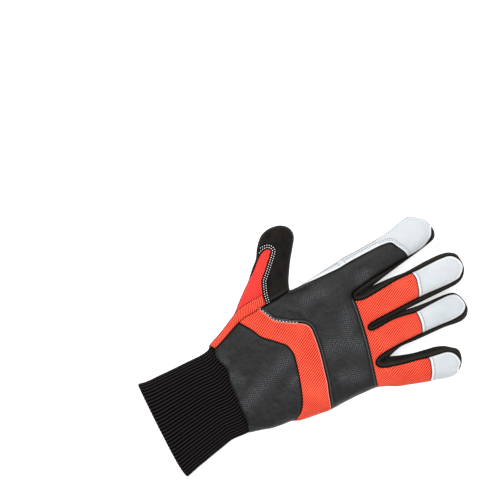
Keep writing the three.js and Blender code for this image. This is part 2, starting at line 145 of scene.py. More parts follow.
# The outline, anticlockwise from the wrist on the little finger's side. Fingers meet in slits.
HAND_AND_LITTLE = [
    (48.3, -73.5), (51, -63), (53.5, -55), (55, -45), (56, -36), (58.3, -31), (60, -22), (61.3, -12),
    (62.5, -3), (62.2, 8), (62, 20), (62.5, 32), (63.3, 42.5), (66, 50), (71, 60), (74, 69), (77, 78),
    (79.5, 86), (81.5, 94), (83.5, 100), (84.6, 106), (84, 111), (80, 116.5), (75, 120), (68.5, 121.5),
    (65, 120.5), (61.5, 116.5), (58, 112), (55, 105), (53, 95), (51, 85), (48, 75), (44.4, 65.2),
    (44.373, 64.8), (44.607, 57),
]
RING = [
    (44.593, 57), (44.36, 64.8), (44.32, 65.2), (41.3, 77), (42, 90), (42.5, 100), (43.5, 120),
    (45, 130), (45, 136), (43, 141), (38, 144.6), (31, 145), (24, 143), (20, 139.5), (18.2, 133),
    (17.5, 125), (16.5, 110), (14.545, 96.2), (14.534, 95.8), (14.407, 80), (14.207, 63),
]
MIDDLE = [
    (14.193, 63), (14.393, 80), (14.52, 95.8), (14.515, 96.2), (14.6, 115), (14.8, 130), (14.7, 145),
    (13, 151), (8.5, 156), (3, 158.3), (-2, 158.5), (-9, 157), (-13, 152), (-15, 145), (-15.5, 130),
    (-15, 110), (-16, 100), (-16.9, 88), (-17.165, 80.2), (-17.162, 79.8), (-16.623, 72), (-15.893, 63),
]
INDEX = [
    (-15.907, 63), (-16.637, 72), (-17.176, 79.8), (-17.195, 80.2), (-20.5, 98), (-23.5, 116),
    (-26, 131), (-28, 141), (-30, 146.4), (-34.5, 148.9), (-41, 148.8), (-46.5, 147.3), (-51.8, 142),
    (-56, 136.6), (-57, 134.2), (-56.2, 127), (-54, 118), (-52.5, 110), (-52, 100), (-51, 80),
    (-51, 68), (-50.2, 62), (-48.5, 45), (-47, 32), (-46, 22), (-46.3, 14),
]
THUMB = [
    (-46.5, 13.5), (-53, 16), (-60, 20), (-70, 26.5), (-80, 34), (-85, 37.5), (-90, 39), (-96, 37.3),
    (-100.3, 32.5), (-102.3, 26), (-102.3, 19), (-100.5, 13.5), (-97, 9), (-91, 4), (-84, -0.5),
    (-79, -6), (-75, -10), (-70, -15), (-66, -20), (-62, -25), (-57, -31), (-50, -39), (-47, -45),
    (-43, -53), (-40, -60), (-38, -65), (-35.5, -71),
]
FINGERTIP_TURNS = {"little": (68.5, 121.5), "index": (-34.5, 148.9)}

# Seams of the back, from the thumb's side to the little finger's. Their ends run off the outline.
BACK_CUFF_SEAM = [
    (-35.5, -71), (-33, -68.6), (-30, -67.5), (-25, -69.5), (-20, -69), (-15, -67), (-8, -66.5),
    (0, -68.5), (10, -69.5), (25, -70.5), (38, -71), (45, -73), (48.3, -73.5),
]
BACK_SEAMS = {
    "wrist_edge": [
        (-45, -41), (-41, -38), (-30, -31), (-22, -27), (-15, -20), (-10, -15), (-5, -10.5), (0, -9),
        (5, -8.5), (10, -9.5), (20, -12), (30, -15), (40, -18.5), (48, -22.5), (52, -26), (55, -31),
        (57, -34), (60, -39),
    ],
    "knuckle_low": [
        (-48, -18), (-43.5, -16.5), (-36, -13), (-30, -10), (-26, -5), (-22, 1), (-19, 6), (-16, 11),
        (-13, 14), (-9, 15.5), (0, 15), (10, 13.5), (20, 11.5), (30, 9), (40, 6.5), (50, 3), (60, 0),
        (67, -3),
    ],
    "knuckle_top": [
        (-20, 60.4), (-14, 59.9), (0, 58), (20, 54.5), (40, 49.5), (55, 45.5), (63, 43.5), (70, 41),
    ],
    "index_edge": [
        (-46.7, 17), (-46, 22), (-45, 35), (-44.5, 50), (-44.3, 60), (-45, 70), (-45.5, 90),
        (-45.2, 104), (-43.6, 110.6), (-38, 114), (-31, 117.5), (-26, 118.5), (-20, 119),
    ],
    "middle_cap_edge": [(-17, 113), (-12, 115), (-6, 116), (0, 114.5), (5, 113), (9.8, 110.5), (15, 107)],
    "ring_cap_edge": [(16, 102.5), (20.5, 103), (26, 103), (32, 102), (38.6, 99.5), (44, 97)],
    "little_cap_edge": [
        (55, 95), (60, 94.5), (63, 94.5), (68, 93), (74, 90.5), (79.6, 86.5), (84, 83),
    ],
    "index_middle_strip": [
        (-44, 152), (-38, 147.5), (-33, 144.5), (-30, 140), (-27.5, 134), (-26.4, 125), (-26, 118.5),
        (-24.5, 100), (-23, 80), (-20.6, 65), (-18.8, 60.8), (-16, 59.8), (-13, 60.4), (-11.5, 63.5),
        (-10.5, 68), (-11, 80), (-12.5, 100), (-12, 115), (-11.7, 120), (-11.8, 130), (-11.5, 143),
        (-10, 151), (-6, 155.4), (-1, 157.5), (2.5, 157.6), (6.5, 160),
    ],
    "middle_ring_strip": [
        (0.5, 161), (3, 157.5), (5.5, 155.9), (8.2, 153.2), (10.5, 150), (11.3, 143), (10.8, 130),
        (10, 118), (9.8, 110.5), (10, 90), (10.3, 70), (11, 62.7), (12.3, 60), (14.1, 59.2), (15.9, 60),
        (17.1, 62.7), (16.6, 80), (17.5, 90), (20, 103), (19.8, 115), (19.7, 128), (20.3, 136),
        (22.7, 141), (27, 143.3), (31, 144.1), (33.5, 144.2), (37, 146.5),
    ],
    "ring_little_strip": [
        (30.5, 147), (33.4, 144.4), (35.2, 143.4), (37.2, 141.8), (39.5, 138), (40.5, 130), (39.7, 118),
        (38.9, 105), (38.8, 99), (38.5, 75), (39.2, 60), (40.6, 54.6), (42.5, 52), (45, 51.2),
        (48, 52.7), (50.6, 57), (53, 65), (55.5, 75), (57.5, 85), (60, 94.5), (61.5, 103), (63.2, 111),
        (66.3, 115.3), (71, 117.6), (77, 117.6), (80.5, 114.5), (86, 112),
    ],
    "thumb_root": [
        (-46.7, 17), (-46.2, 12), (-45.2, 0), (-44.8, -10.3), (-44, -18), (-43.5, -25), (-43, -33),
        (-41, -40), (-38, -48), (-35, -55), (-30.5, -67.5), (-29, -72),
    ],
    "gusset_edge": [
        (-68, -19), (-72.2, -12.2), (-76, -6.9), (-80.2, -2.2), (-83.4, 1.4), (-86, 5), (-87.6, 9),
        (-87, 13.4), (-84.5, 14.7), (-81, 12), (-75, 6), (-70, 1), (-65, -4), (-60, -6.3), (-54, -8.5),
        (-45.5, -10.3), (-42, -10.9),
    ],
    "strap_edge": [(-54.2, -7), (-53.5, -20), (-52.6, -30), (-50, -39), (-48.5, -44)],
}

# Seams of the palm side, as they lie under the glove
PALM_CUFF_SEAM = [
    (-35.5, -71), (-32, -73), (-20, -77), (-10, -80), (0, -81), (15, -80.5), (25, -80), (35, -80.5),
    (42, -80.5), (46.4, -78), (48.3, -73.5),
]
PALM_SEAMS = {
    "patch_top": [
        (-60, 66), (-49, 60.5), (-30, 56.5), (-10, 52.5), (10, 50), (30, 46), (45, 41.5), (72, 34),
    ],
    "thumb_seam": [
        (-50, 20), (-48, 15), (-43, 9), (-37, 5.5), (-33, 0), (-30, -9), (-28.5, -20), (-27.6, -33),
        (-27, -45), (-26, -60), (-25.5, -70), (-25, -84),
    ],
    "index_middle_strip": [
        (-42, 152), (-38.5, 147.6), (-34, 144.5), (-31.3, 139.5), (-29, 131), (-26.4, 116), (-23.4, 98),
        (-20.2, 80), (-18.9, 63), (-17.4, 59), (-15.9, 58.2), (-14.4, 59), (-12.8, 63), (-13.8, 80),
        (-13.4, 86), (-12.6, 100), (-11.8, 110), (-12.4, 130), (-12, 145), (-10.2, 150), (-7, 153.4),
        (-2.5, 156.3), (2.5, 157.2), (6.5, 160),
    ],
    "middle_ring_strip": [
        (0.5, 161), (3, 157.2), (5.6, 155.2), (8.5, 152), (11, 148), (11.7, 142), (11.8, 130),
        (11.6, 115), (11.3, 97), (11, 63), (12.2, 59.2), (14.2, 57.8), (16.2, 59.2), (17.4, 63),
        (18.2, 98), (19.5, 110), (20.5, 125), (21.2, 132), (22.6, 137), (25.7, 140.3), (29.6, 142.9),
        (33.3, 144), (37, 146.5),
    ],
    "ring_little_strip": [
        (30.5, 147), (33.3, 144.2), (35.8, 142.4), (39, 139.5), (41.4, 135.5), (41.8, 130), (40.4, 120),
        (39.5, 100), (39, 90), (38.3, 77), (40.8, 65), (41.5, 57), (43, 53.2), (44.8, 52), (46.8, 53.2),
        (47.9, 57), (48, 65), (51, 75), (54, 85), (56, 95), (58, 104), (60.9, 109.8), (64, 113.6),
        (66.7, 116.2), (71, 117.8), (77, 117.4), (80.5, 114.5), (86, 112),
    ],
}
QUILTING = {
    "quilting_1": [(-52, 33.2), (-45, 32.5), (0, 28.5), (30, 23), (68, 14.5)],
    "quilting_2": [(-42, 11), (-20, 8.5), (0, 4), (20, -1.5), (57, -13), (66, -16)],
    "quilting_3": [(-31, -19), (-27, -20), (0, -29), (30, -36), (57, -43.5), (62, -45)],
    "quilting_4": [(-30, -48), (-24, -50), (0, -57), (25, -64), (50, -72.5), (56, -75)],
}

# Soft folds of the back: the line each follows, its half width and its height in millimetres
FOLD_REACH = 45
FOLD_TAPER = 0.7
FOLDS = [
    {"line": [(4, -14), (13, -36), (26, -64)], "width": 6, "height": 0.9},
    {"line": [(24, -20), (34, -42), (44, -68)], "width": 6, "height": -0.6},
    {"line": [(-26, -34), (-12, -52), (-6, -66)], "width": 5, "height": -0.6},
    {"line": [(14, 48), (24, 30), (30, 10)], "width": 6, "height": 0.6},
    {"line": [(46, 40), (50, 22), (52, 4)], "width": 5, "height": -0.5},
    {"line": [(-45, 8), (-30, 24), (-8, 33)], "width": 5, "height": -0.8},
    {"line": [(-44, -4), (-28, 12), (-5, 22)], "width": 4.5, "height": 0.7},
    {"line": [(-36, -45), (-15, -38), (8, -37)], "width": 5, "height": 0.5},
    {"line": [(50, -58), (30, -50), (10, -52)], "width": 4.5, "height": -0.6},
    {"line": [(54, -40), (36, -36), (18, -41)], "width": 4, "height": 0.55},
    {"line": [(-22, 70), (-34, 76), (-44, 74)], "width": 3.5, "height": -0.45},
    {"line": [(-62, 6), (-72, 16), (-78, 30)], "width": 4, "height": -0.5},
    {"line": [(50, 72), (60, 68), (70, 72)], "width": 3, "height": -0.5},
    {"line": [(-12, 84), (0, 80), (10, 85)], "width": 3.5, "height": -0.4},
    {"line": [(18, 78), (28, 74), (39, 78)], "width": 3.5, "height": -0.4},
]

# Where the black leather bulges and its grain shines: patches of painted highlight, which also raise the
# grain's bump
SHINE_PATCHES = [
    {"line": [(24, -65), (12, -31), (7, -17)], "width": 6},
    {"line": [(-3, -66), (4, -59)], "width": 4},
    {"line": [(-19, -67), (-16, -64)], "width": 3},
    {"line": [(26, -21), (24, -16)], "width": 4},
    {"line": [(14, 26), (16, 34), (22, 44)], "width": 8},
    {"line": [(-33, 22), (-32, 40)], "width": 5},
    {"line": [(14, 18), (12, 21)], "width": 4},
    {"line": [(-28, 79), (-25, 72)], "width": 5},
    {"line": [(-5, 48), (10, 41)], "width": 6},
    {"line": [(42, 22), (48, 34)], "width": 6},
]

# Creases and folded edges pressed into the white leather, with painted shade along them; the faint value
# makes a painted line fainter
CREASES = [
    {"piece": "index_tip_cap", "line": [(-47.8, 30), (-48, 42), (-48.2, 52), (-48.6, 61)], "deep": 0.4},
    {"piece": "index_tip_cap", "line": [(-53, 60.4), (-49, 61.2), (-46, 61.8)], "deep": 0.7},
    {"piece": "index_tip_cap", "line": [(-53, 66), (-49, 66.8), (-46, 67.4)], "deep": 0.7},
    {"piece": "index_tip_cap", "line": [(-50.3, 68), (-50.5, 84), (-51.2, 100)], "deep": 0.25},
    {
        "piece": "middle_tip_cap", "line": [(-8, 152.5), (-2, 154.3), (4, 153), (9, 148)],
        "deep": 0.2, "faint": 0.35,
    },
    {"piece": "middle_tip_cap", "line": [(2, 146), (6, 143), (9, 137)], "deep": 0.2, "faint": 0.4},
    {"piece": "ring_tip_cap", "line": [(24, 139), (31, 141), (37, 139)], "deep": 0.15, "faint": 0.4},
    {"piece": "little_tip_cap", "line": [(68, 117), (74, 114.5), (79, 110)], "deep": 0.15, "faint": 0.4},
]


def clamp(values):
    return np.clip(values, 0, 1)


def ease(values, start, end):
    """0 up to start, 1 from end, and a smooth turn between them."""
    share = clamp((values - start) / (end - start))
    return share * share * (3 - 2 * share)


def smooth(points, step=STEP):
    """A smooth line through the points, in steps of about the same length."""
    knots = np.array(points, float)
    ends = np.array([2 * knots[0] - knots[1], 2 * knots[-1] - knots[-2]])
    p = np.vstack([ends[:1], knots, ends[1:]])
    line = []
    for a, b, c, d in zip(p, p[1:], p[2:], p[3:]):
        gaps = [max(math.sqrt(np.linalg.norm(v - u)), 1e-3) for u, v in ((a, b), (b, c), (c, d))]
        t1, t2, t3 = gaps[0], gaps[0] + gaps[1], sum(gaps)
        count = max(1, round(np.linalg.norm(c - b) / step))
        t = np.linspace(t1, t2, count, endpoint=False)[:, None]
        a1 = (t1 - t) / t1 * a + t / t1 * b
        a2 = (t2 - t) / (t2 - t1) * b + (t - t1) / (t2 - t1) * c
        a3 = (t3 - t) / (t3 - t2) * c + (t - t2) / (t3 - t2) * d
        b1 = (t2 - t) / t2 * a1 + t / t2 * a2
        b2 = (t3 - t) / (t3 - t1) * a2 + (t - t1) / (t3 - t1) * a3
        line.append((t2 - t) / (t2 - t1) * b1 + (t - t1) / (t2 - t1) * b2)
    return np.vstack([*line, knots[-1:]])


def left_of_travel(line):
    """Unit vectors to the left of a line's travel, one at each point."""
    along = np.gradient(line, axis=0)
    along /= np.linalg.norm(along, axis=1, keepdims=True)
    return np.column_stack([-along[:, 1], along[:, 0]])


def shifted(line, distance):
    return line + left_of_travel(line) * distance


def inside(points, outline):
    """Which points lie inside a closed outline."""
    found = np.zeros(len(points), bool)
    x, y = points[:, 0], points[:, 1]
    for (ax, ay), (bx, by) in zip(outline, np.roll(outline, -1, axis=0)):
        if ay == by:
            continue
        crosses = (ay > y) != (by > y)
        found ^= crosses & (x < ax + (y - ay) * (bx - ax) / (by - ay))
    return found


def left_side(points, line, far=400):
    """Which points lie to the left of a line's travel, with its ends run on straight."""
    along = line[-1] - line[0]
    along /= np.linalg.norm(along)
    aside = np.array([-along[1], along[0]]) * far
    start, end = line[0] - along * far, line[-1] + along * far
    return inside(points, np.vstack([start, line, end, end + aside, start + aside]))


def tree_of(places):
    """Plan places from which the nearest one can be asked."""
    tree = KDTree(len(places))
    for i, (x, y) in enumerate(places):
        tree.insert((x, y, 0), i)
    tree.balance()
    return tree


class Edge:
    """Plan lines that the distance of any point can be asked from."""

    def __init__(self, *lines):
        self.a = np.vstack([line[:-1] for line in lines])
        self.b = np.vstack([line[1:] for line in lines])
        self.tree = tree_of((self.a + self.b) / 2)

    def nearest(self, points, looked_at=3):
        """The distance of each point, and the unit vector to the right of the nearest stretch."""
        found = [[i for _, i, _ in self.tree.find_n((x, y, 0), looked_at)] for x, y in points]
        best = np.full(len(points), np.inf)
        right = np.zeros((len(points), 2))
        for k in np.array(found).T:
            a, ab = self.a[k], self.b[k] - self.a[k]
            length = np.maximum((ab * ab).sum(1), 1e-12)
            share = clamp(((points - a) * ab).sum(1) / length)
            gap = np.linalg.norm(points - a - ab * share[:, None], axis=1)
            closer = gap < best
            best[closer] = gap[closer]
            unit = ab / np.sqrt(length)[:, None]
            right[closer] = np.column_stack([unit[:, 1], -unit[:, 0]])[closer]
        return best, right

    def distance(self, points):
        return self.nearest(points)[0]


def split_at(line, corner):
    """A line in two, at the point nearest a corner."""
    i = int(np.argmin(np.linalg.norm(line - np.array(corner), axis=1)))
    return line[: i + 1], line[i:]


# The outline's smooth stretches. The sides where fingers face each other are webs.
little_outer, little_web = split_at(smooth(HAND_AND_LITTLE), FINGERTIP_TURNS["little"])
index_web, index_outer = split_at(smooth(INDEX), FINGERTIP_TURNS["index"])
ring_web, middle_web, thumb_outer = smooth(RING), smooth(MIDDLE), smooth(THUMB)
sides = [little_outer, little_web, ring_web, middle_web, index_web, index_outer, thumb_outer]
outline_line = np.vstack(sides)
outer_edge = Edge(little_outer, index_outer, thumb_outer)
web_edge = Edge(little_web, ring_web, middle_web, index_web)
outline_edge = Edge(outline_line)


def dome(share):
    """The height of a rounded edge, from 0 at the outline to 1 well inside it."""
    return (1 - (1 - clamp(share)) ** ROUNDNESS) ** (1 / ROUNDNESS)


def roundness(points):
    """How high the glove stands at each point, as a share of its full height there."""
    x, y = points.T
    on_finger = ease(y, *TO_FINGERS["round"])
    on_thumb = ease(-x, *TO_THUMB["round"]) * (1 - ease(y, *PAST_THUMB))
    at_wrist = ease(-y, *TO_WRIST["round"])
    reach = HAND_ROUND + (WRIST_ROUND - HAND_ROUND) * at_wrist
    reach = reach + (FINGER_ROUND - reach) * on_finger
    reach = reach + (THUMB_ROUND - reach) * on_thumb
    outer, web = outer_edge.distance(points), web_edge.distance(points)
    in_hand = dome(outer / reach) * dome(web / WEB_ROUND)
    return in_hand + (dome(np.minimum(outer, web) / reach) - in_hand) * on_finger


def full_rise(points):
    """How high the back rises over the side seam well inside the outline, in millimetres."""
    x, y = points.T
    rise = HAND_RISE + (WRIST_RISE - HAND_RISE) * ease(-y, *TO_WRIST["rise"])
    rise = rise + (FINGER_RISE - rise) * ease(y, *TO_FINGERS["rise"])
    return rise + (THUMB_RISE - rise) * ease(-x, *TO_THUMB["rise"]) * (1 - ease(y, *PAST_THUMB))


def uneven(points, size, seed):
    """Soft random unevenness of about -1 to 1, with hollows of the given size in millimetres."""
    return np.array([noise.noise((x / size, y / size, seed)) for x, y in points])


def folds(points):
    """How much the soft folds lift or sink each point, in millimetres."""
    height = np.zeros(len(points))
    for fold in FOLDS:
        line = smooth(fold["line"], 1)
        tree = tree_of(line)
        middle_x, middle_y = line[len(line) // 2]
        for i, (x, y) in enumerate(points):
            if math.hypot(x - middle_x, y - middle_y) > FOLD_REACH:
                continue
            _, k, gap = tree.find((x, y, 0))
            fade = math.sin(math.pi * (k + 0.5) / len(line)) ** FOLD_TAPER
            height[i] += fold["height"] * fade * math.exp(-((gap / fold["width"]) ** 2))
    return height


# The knitted cuff in millimetres, as tables of rows (place along the glove, value): its left and right
# outline, and how far its top and underside stand off the side seam. The end's table runs across the glove.
CUFF_LEFT = [
    (-66, -33.8), (-71, -33.6), (-74, -32.2), (-80, -31.2), (-100, -31.6), (-120, -32), (-135, -32.7),
    (-141.5, -34),
]
CUFF_RIGHT = [
    (-66, 46.2), (-72, 47), (-76, 47.6), (-82, 47.2), (-90, 46.8), (-97, 48), (-110, 51), (-125, 54.3),
    (-137, 57.6), (-141.5, 58.4),
]
CUFF_TOP = [
    (-66, 9.2), (-71, 9.9), (-75, 11.2), (-82, 11.9), (-100, 11.2), (-125, 10.9), (-141.5, 11.3),
]
CUFF_UNDER = [
    (-66, 7.2), (-83, 7.4), (-89, 9.2), (-100, 9.5), (-141.5, 9.7),
]
CUFF_END = [
    (-60, -141.3), (-34, -141.4), (10, -141.7), (40, -141.2), (50, -139.8), (58, -137), (80, -132),
]
CUFF_SQUARENESS = 2.45


def read_off(table, place):
    """A value between the rows of a table, along a smooth line."""
    line = smooth(table, 1)
    order = np.argsort(line[:, 0])
    return np.interp(place, line[order, 0], line[order, 1])


def cuff_drop(points):
    """How far the cuff's underside lies below the side seam at each point."""
    x, y = points.T
    low, high = read_off(CUFF_LEFT, y), read_off(CUFF_RIGHT, y)
    across = clamp(np.abs(x - (low + high) / 2) * 2 / (high - low))
    return read_off(CUFF_UNDER, y) * (1 - across**CUFF_SQUARENESS) ** (1 / CUFF_SQUARENESS)


def painted_shine(points):
    """How strongly each point of the back is painted with highlight by the shine patches, from 0 to 1."""
    total = np.zeros(len(points))
    for patch in SHINE_PATCHES:
        gap = Edge(smooth(patch["line"])).distance(points)
        total = np.maximum(total, np.exp(-((gap / patch["width"]) ** 2)))
    return total


class Side:
    """One side of the glove laid out flat: a fine mesh of the plan, cut along all its seams.

    The pieces' free outlines and curved seams are made in code, because no primitive gives them.
    """

    def __init__(self, cuff_seam, seams, extra_lines, up):
        self.up = up
        self.seams = {name: smooth(points) for name, points in seams.items()}
        self.lines = {name: smooth(points) for name, points in extra_lines.items()}
        cuff_line = smooth(cuff_seam)
        loop = np.vstack([outline_line, cuff_line[1:-1]])
        self.cuff_edge = Edge(cuff_line)
        self.points, self.faces = self.mesh(loop, cuff_line)

    def mesh(self, loop, cuff_line):
        fixed, edges = [loop], []
        count = len(loop)
        edges += [(i, (i + 1) % count) for i in range(count)]
        for line in self.seams.values():
            edges += [(count + i, count + i + 1) for i in range(len(line) - 1)]
            fixed.append(line)
            count += len(line)
        every = Edge(np.vstack([loop, loop[:1]]), *self.seams.values())
        free = []
        for ring in EDGE_RINGS:
            every_point = 1 if ring < SPARSE_RING else 2
            free.append((shifted(loop, ring)[::every_point], ring))
        for line in [cuff_line, *self.seams.values(), *self.lines.values()]:
            for ring in SEAM_RINGS:
                free += [(shifted(line, ring), ring), (shifted(line, -ring), ring)]
        low, high = loop.min(0), loop.max(0)
        rows = np.arange(low[1], high[1], GRID * math.sqrt(0.75))
        grid = [
            (x, y)
            for k, y in enumerate(rows)
            for x in np.arange(low[0] + GRID / 2 * (k % 2), high[0], GRID)
        ]
        free.append((np.array(grid), SEAM_RINGS[-1] + GRID_CLEARANCE))
        taken, kept = set(), []
        for points, ring in free:
            points = points[inside(points, loop)]
            points = points[every.distance(points) > RING_CLEARANCE * ring]
            cell = min(POINT_SPACING, ring / 2 + LEAST_SPACING)
            for x, y in points:
                key = (round(x / cell), round(y / cell), cell)
                if key not in taken:
                    taken.add(key)
                    kept.append((x, y))
        places = [Vector(p) for p in np.vstack(fixed)] + [Vector(p) for p in kept]
        made = delaunay_2d_cdt(places, edges, [], 0, MESH_TOLERANCE)
        points = np.array([tuple(p) for p in made[0]])
        faces = np.array(made[2])
        faces = faces[inside(points[faces].mean(1), loop)]
        return points, faces

    def classify(self, rules):
        """The name of the piece that each face belongs to. An earlier rule goes before a later one."""
        middles = self.points[self.faces].mean(1)
        piece = np.full(len(middles), "", dtype=object)
        for name, *tests in rules:
            chosen = piece == ""
            for test in tests:
                chosen &= test(self, middles)
            piece[chosen] = name
        self.piece = piece
        self.find_borders()

    def find_borders(self):
        """For each pair of neighbouring pieces, the edges where they meet."""
        pairs = np.sort(self.faces[:, [0, 1, 1, 2, 2, 0]].reshape(-1, 2), axis=1)
        owner = np.repeat(np.arange(len(self.faces)), 3)
        order = np.lexsort((pairs[:, 1], pairs[:, 0]))
        pairs, owner = pairs[order], owner[order]
        same = np.flatnonzero((pairs[1:] == pairs[:-1]).all(1))
        self.borders = {}
        for i in same:
            one, other = self.piece[owner[i]], self.piece[owner[i + 1]]
            if one != other:
                ends = self.points[pairs[i]]
                samples = [ends[0], ends.mean(0), ends[1]]
                self.borders.setdefault((one, other), []).extend(samples)
                self.borders.setdefault((other, one), []).extend(samples)

    def border_distance(self, points, piece, neighbour):
        tree = tree_of(self.borders[(piece, neighbour)])
        return np.array([tree.find((x, y, 0))[2] for x, y in points])

    def skin(self, piece):
        """The piece's points, faces, unrolled cloth places in millimetres, and marks."""
        faces = self.faces[self.piece == piece]
        used, faces = np.unique(faces, return_inverse=True)
        faces = faces.reshape(-1, 3)
        points = self.points[used]
        share = roundness(points)
        from_outline, outward = outline_edge.nearest(points)
        relief = self.relief(points, piece, from_outline) * ease(from_outline, *RELIEF_FADE)
        if self.up:
            rise = full_rise(points)
            soft = ease(from_outline, *FOLD_FADE)
            height = SIDE_SEAM + rise * share + relief
            height += folds(points) * soft
            height += UNEVEN * uneven(points, UNEVEN_SIZE, UNEVEN_SEED) * soft
        else:
            rise = np.full(len(points), PALM_DROP)
            drop = rise * share
            away = np.maximum(drop - cuff_drop(points) - PALM_OVER_CUFF, 0)
            lifted = 1 - ease(self.cuff_edge.distance(points), *CUFF_FADE)
            drop -= away * lifted * ease(-points[:, 1], *PALM_END)
            height = np.maximum(SIDE_SEAM - drop - relief, LOWEST_COVER)
            faces = faces[:, ::-1]
        unrolled = points + outward * (rise * (1 - share))[:, None]
        marks = np.column_stack([self.seam_gap, self.hem_gap, self.crease_gap, painted_shine(points)])
        return np.column_stack([points, height]), faces, unrolled, marks

    def relief(self, points, piece, from_outline):
        """Laps, tucked seams and the grooves under the stitches, outwards from the skin."""
        at_cuff = self.cuff_edge.distance(points)
        self.seam_gap = at_cuff
        self.hem_gap = np.full(len(points), FAR)
        self.crease_gap = np.full(len(points), FAR)
        # Painted shade along the outline of pieces with a shaded outline
        if piece in SHADED_OUTLINES:
            self.crease_gap = from_outline * SHADED_OUTLINES[piece]
        relief = np.zeros(len(points))
        lap = np.full(len(points), LAP if piece in LAPPED else 0.0)
        for (one, other) in self.borders:
            if one != piece:
                continue
            gap = self.border_distance(points, piece, other)
            if (piece, other) in FINE_SEAMS:
                self.crease_gap = np.minimum(self.crease_gap, gap + FINE_LINE)
            else:
                self.seam_gap = np.minimum(self.seam_gap, gap)
            if other in LAPPED.get(piece, ()):
                self.hem_gap = np.minimum(self.hem_gap, gap)
                lap *= np.sqrt(1 - (1 - clamp(gap / LAP_EDGE)) ** 2)
                relief += HEM * np.exp(-(((gap - HEM_PLACE) / HEM_WIDTH) ** 2))
            elif piece in LAPPED.get(other, ()):
                if piece in LIT_UNDER_LAP:
                    self.hem_gap = np.minimum(self.hem_gap, gap)
                lap *= ease(gap, 0, LAP_HOLD)
                relief -= UNDER_LAP * np.exp(-((gap / UNDER_LAP_WIDTH) ** 2))
            else:
                lap *= ease(gap, PLAIN_HOLD, LAP_HOLD)
                relief -= TUCK * np.exp(-gap / TUCK_WIDTH)
        pucker = uneven(points * np.array(PUCKER_STRETCH), PUCKER_SIZE, PUCKER_SEEDS[self.up])
        relief += PUCKER * pucker * np.exp(-at_cuff / PUCKER_REACH)
        relief -= CUFF_TUCK * np.exp(-((at_cuff / CUFF_TUCK_WIDTH) ** 2))
        for row in ROWS:
            if row["piece"] == piece and row["up"] == self.up:
                gap = Edge(self.row_line(row)).distance(points)
                width = row.get("width", GROOVE_WIDTH)
                relief -= row.get("groove", GROOVE) * np.exp(-((gap / width) ** 2))
        for crease in CREASES:
            if crease["piece"] == piece:
                gap = Edge(smooth(crease["line"])).distance(points)
                self.crease_gap = np.minimum(self.crease_gap, gap + crease.get("faint", 0))
                relief -= crease["deep"] * np.exp(-((gap / GROOVE_WIDTH) ** 2))
        return relief + lap

    def row_line(self, row):
        lines = {**self.seams, **self.lines}
        return shifted(lines[row["along"]], row["aside"])


# Which piece lies over which, with a rounded edge
LAPPED = {
    "back_knuckle_panel": ("back_chevron_band", "back_fingers_panel"),
    "index_tip_cap": ("back_knuckle_panel",),
    "middle_tip_cap": ("back_fingers_panel",),
    "ring_tip_cap": ("back_fingers_panel",),
    "little_tip_cap": ("back_fingers_panel",),
    "thumb_back": ("thumb_gusset", "thumb_strap"),
    "thumb_strap": ("thumb_gusset",),
    "palm_patch": ("palm_leather", "thumb_palm"),
}

# Pieces whose outer edge is painted with a line of shade, with its fineness. On the gusset and strap the
# dark line also stands for the dark cloth that wraps round their edge
SHADED_OUTLINES = {
    "thumb_gusset": 0.6, "thumb_strap": 0.6,
    "index_tip_cap": 0.65, "middle_tip_cap": 1.2, "ring_tip_cap": 1.2, "little_tip_cap": 1,
}

# Seams that show as one fine line of painted shade, and the piece whose turned edge catches the light beside
# a lap
FINE_SEAMS = (
    ("thumb_strap", "thumb_gusset"), ("thumb_gusset", "thumb_strap"),
    ("thumb_strap", "back_chevron_band"), ("back_chevron_band", "thumb_strap"),
)
LIT_UNDER_LAP = ("back_chevron_band",)

# What each point of a piece is marked with for its finish: distances in millimetres, and how strongly it is
# painted with highlight
MARKS = ("seam_gap", "hem_gap", "crease_gap", "painted_shine")
FAR = 99.0

# Rows of stitches: the line they follow, how far to the left of its travel, and the piece they are sewn in.
# "beyond" and "left_of" say where a row shows, and "start" how many stitches in it begins.
ROWS = [
    {
        "along": "knuckle_low", "aside": 0.3, "piece": "back_knuckle_panel", "thread": "white",
        "pitch": 2.9, "length": 1.9, "wide": 0.62, "left_of": -19,
    },
    {"along": "knuckle_low", "aside": 2.7, "piece": "back_knuckle_panel", "thread": "black"},
    {"along": "knuckle_top", "aside": -2.7, "piece": "back_knuckle_panel", "thread": "black"},
    {"along": "index_edge", "aside": 1.7, "piece": "index_tip_cap", "thread": "grey", "beyond": 100},
    {"along": "index_edge", "aside": 3.4, "piece": "index_tip_cap", "thread": "grey", "beyond": 69},
    {"along": "middle_cap_edge", "aside": 2.8, "piece": "middle_tip_cap", "thread": "grey"},
    {"along": "ring_cap_edge", "aside": 2.8, "piece": "ring_tip_cap", "thread": "grey"},
    {"along": "little_cap_edge", "aside": 2.8, "piece": "little_tip_cap", "thread": "grey"},
    {"along": "gusset_edge", "aside": 1.3, "piece": "thumb_back", "thread": "white", "start": 15},
    {"along": "gusset_edge", "aside": 3.3, "piece": "thumb_back", "thread": "white", "start": 17},
    {"along": "patch_top", "aside": -2, "piece": "palm_patch", "thread": "grey"},
    {"along": "patch_top", "aside": -4, "piece": "palm_patch", "thread": "grey"},
    {"along": "thumb_seam", "aside": 1.6, "piece": "palm_patch", "thread": "grey"},
    {"along": "thumb_seam", "aside": 3.4, "piece": "palm_patch", "thread": "grey"},
]
ROWS += [
    {"along": name, "aside": 0, "piece": "palm_patch", "thread": "grey", "groove": 0.75, "width": 1.6}
    for name in QUILTING
]
for row in ROWS:
    row["up"] = row["along"] in BACK_SEAMS


def left(seam):
    return lambda side, places: left_side(places, side.seams[seam])


def right(seam):
    return lambda side, places: ~left_side(places, side.seams[seam])


def across(low, high):
    return lambda side, places: (places[:, 0] > low) & (places[:, 0] < high)


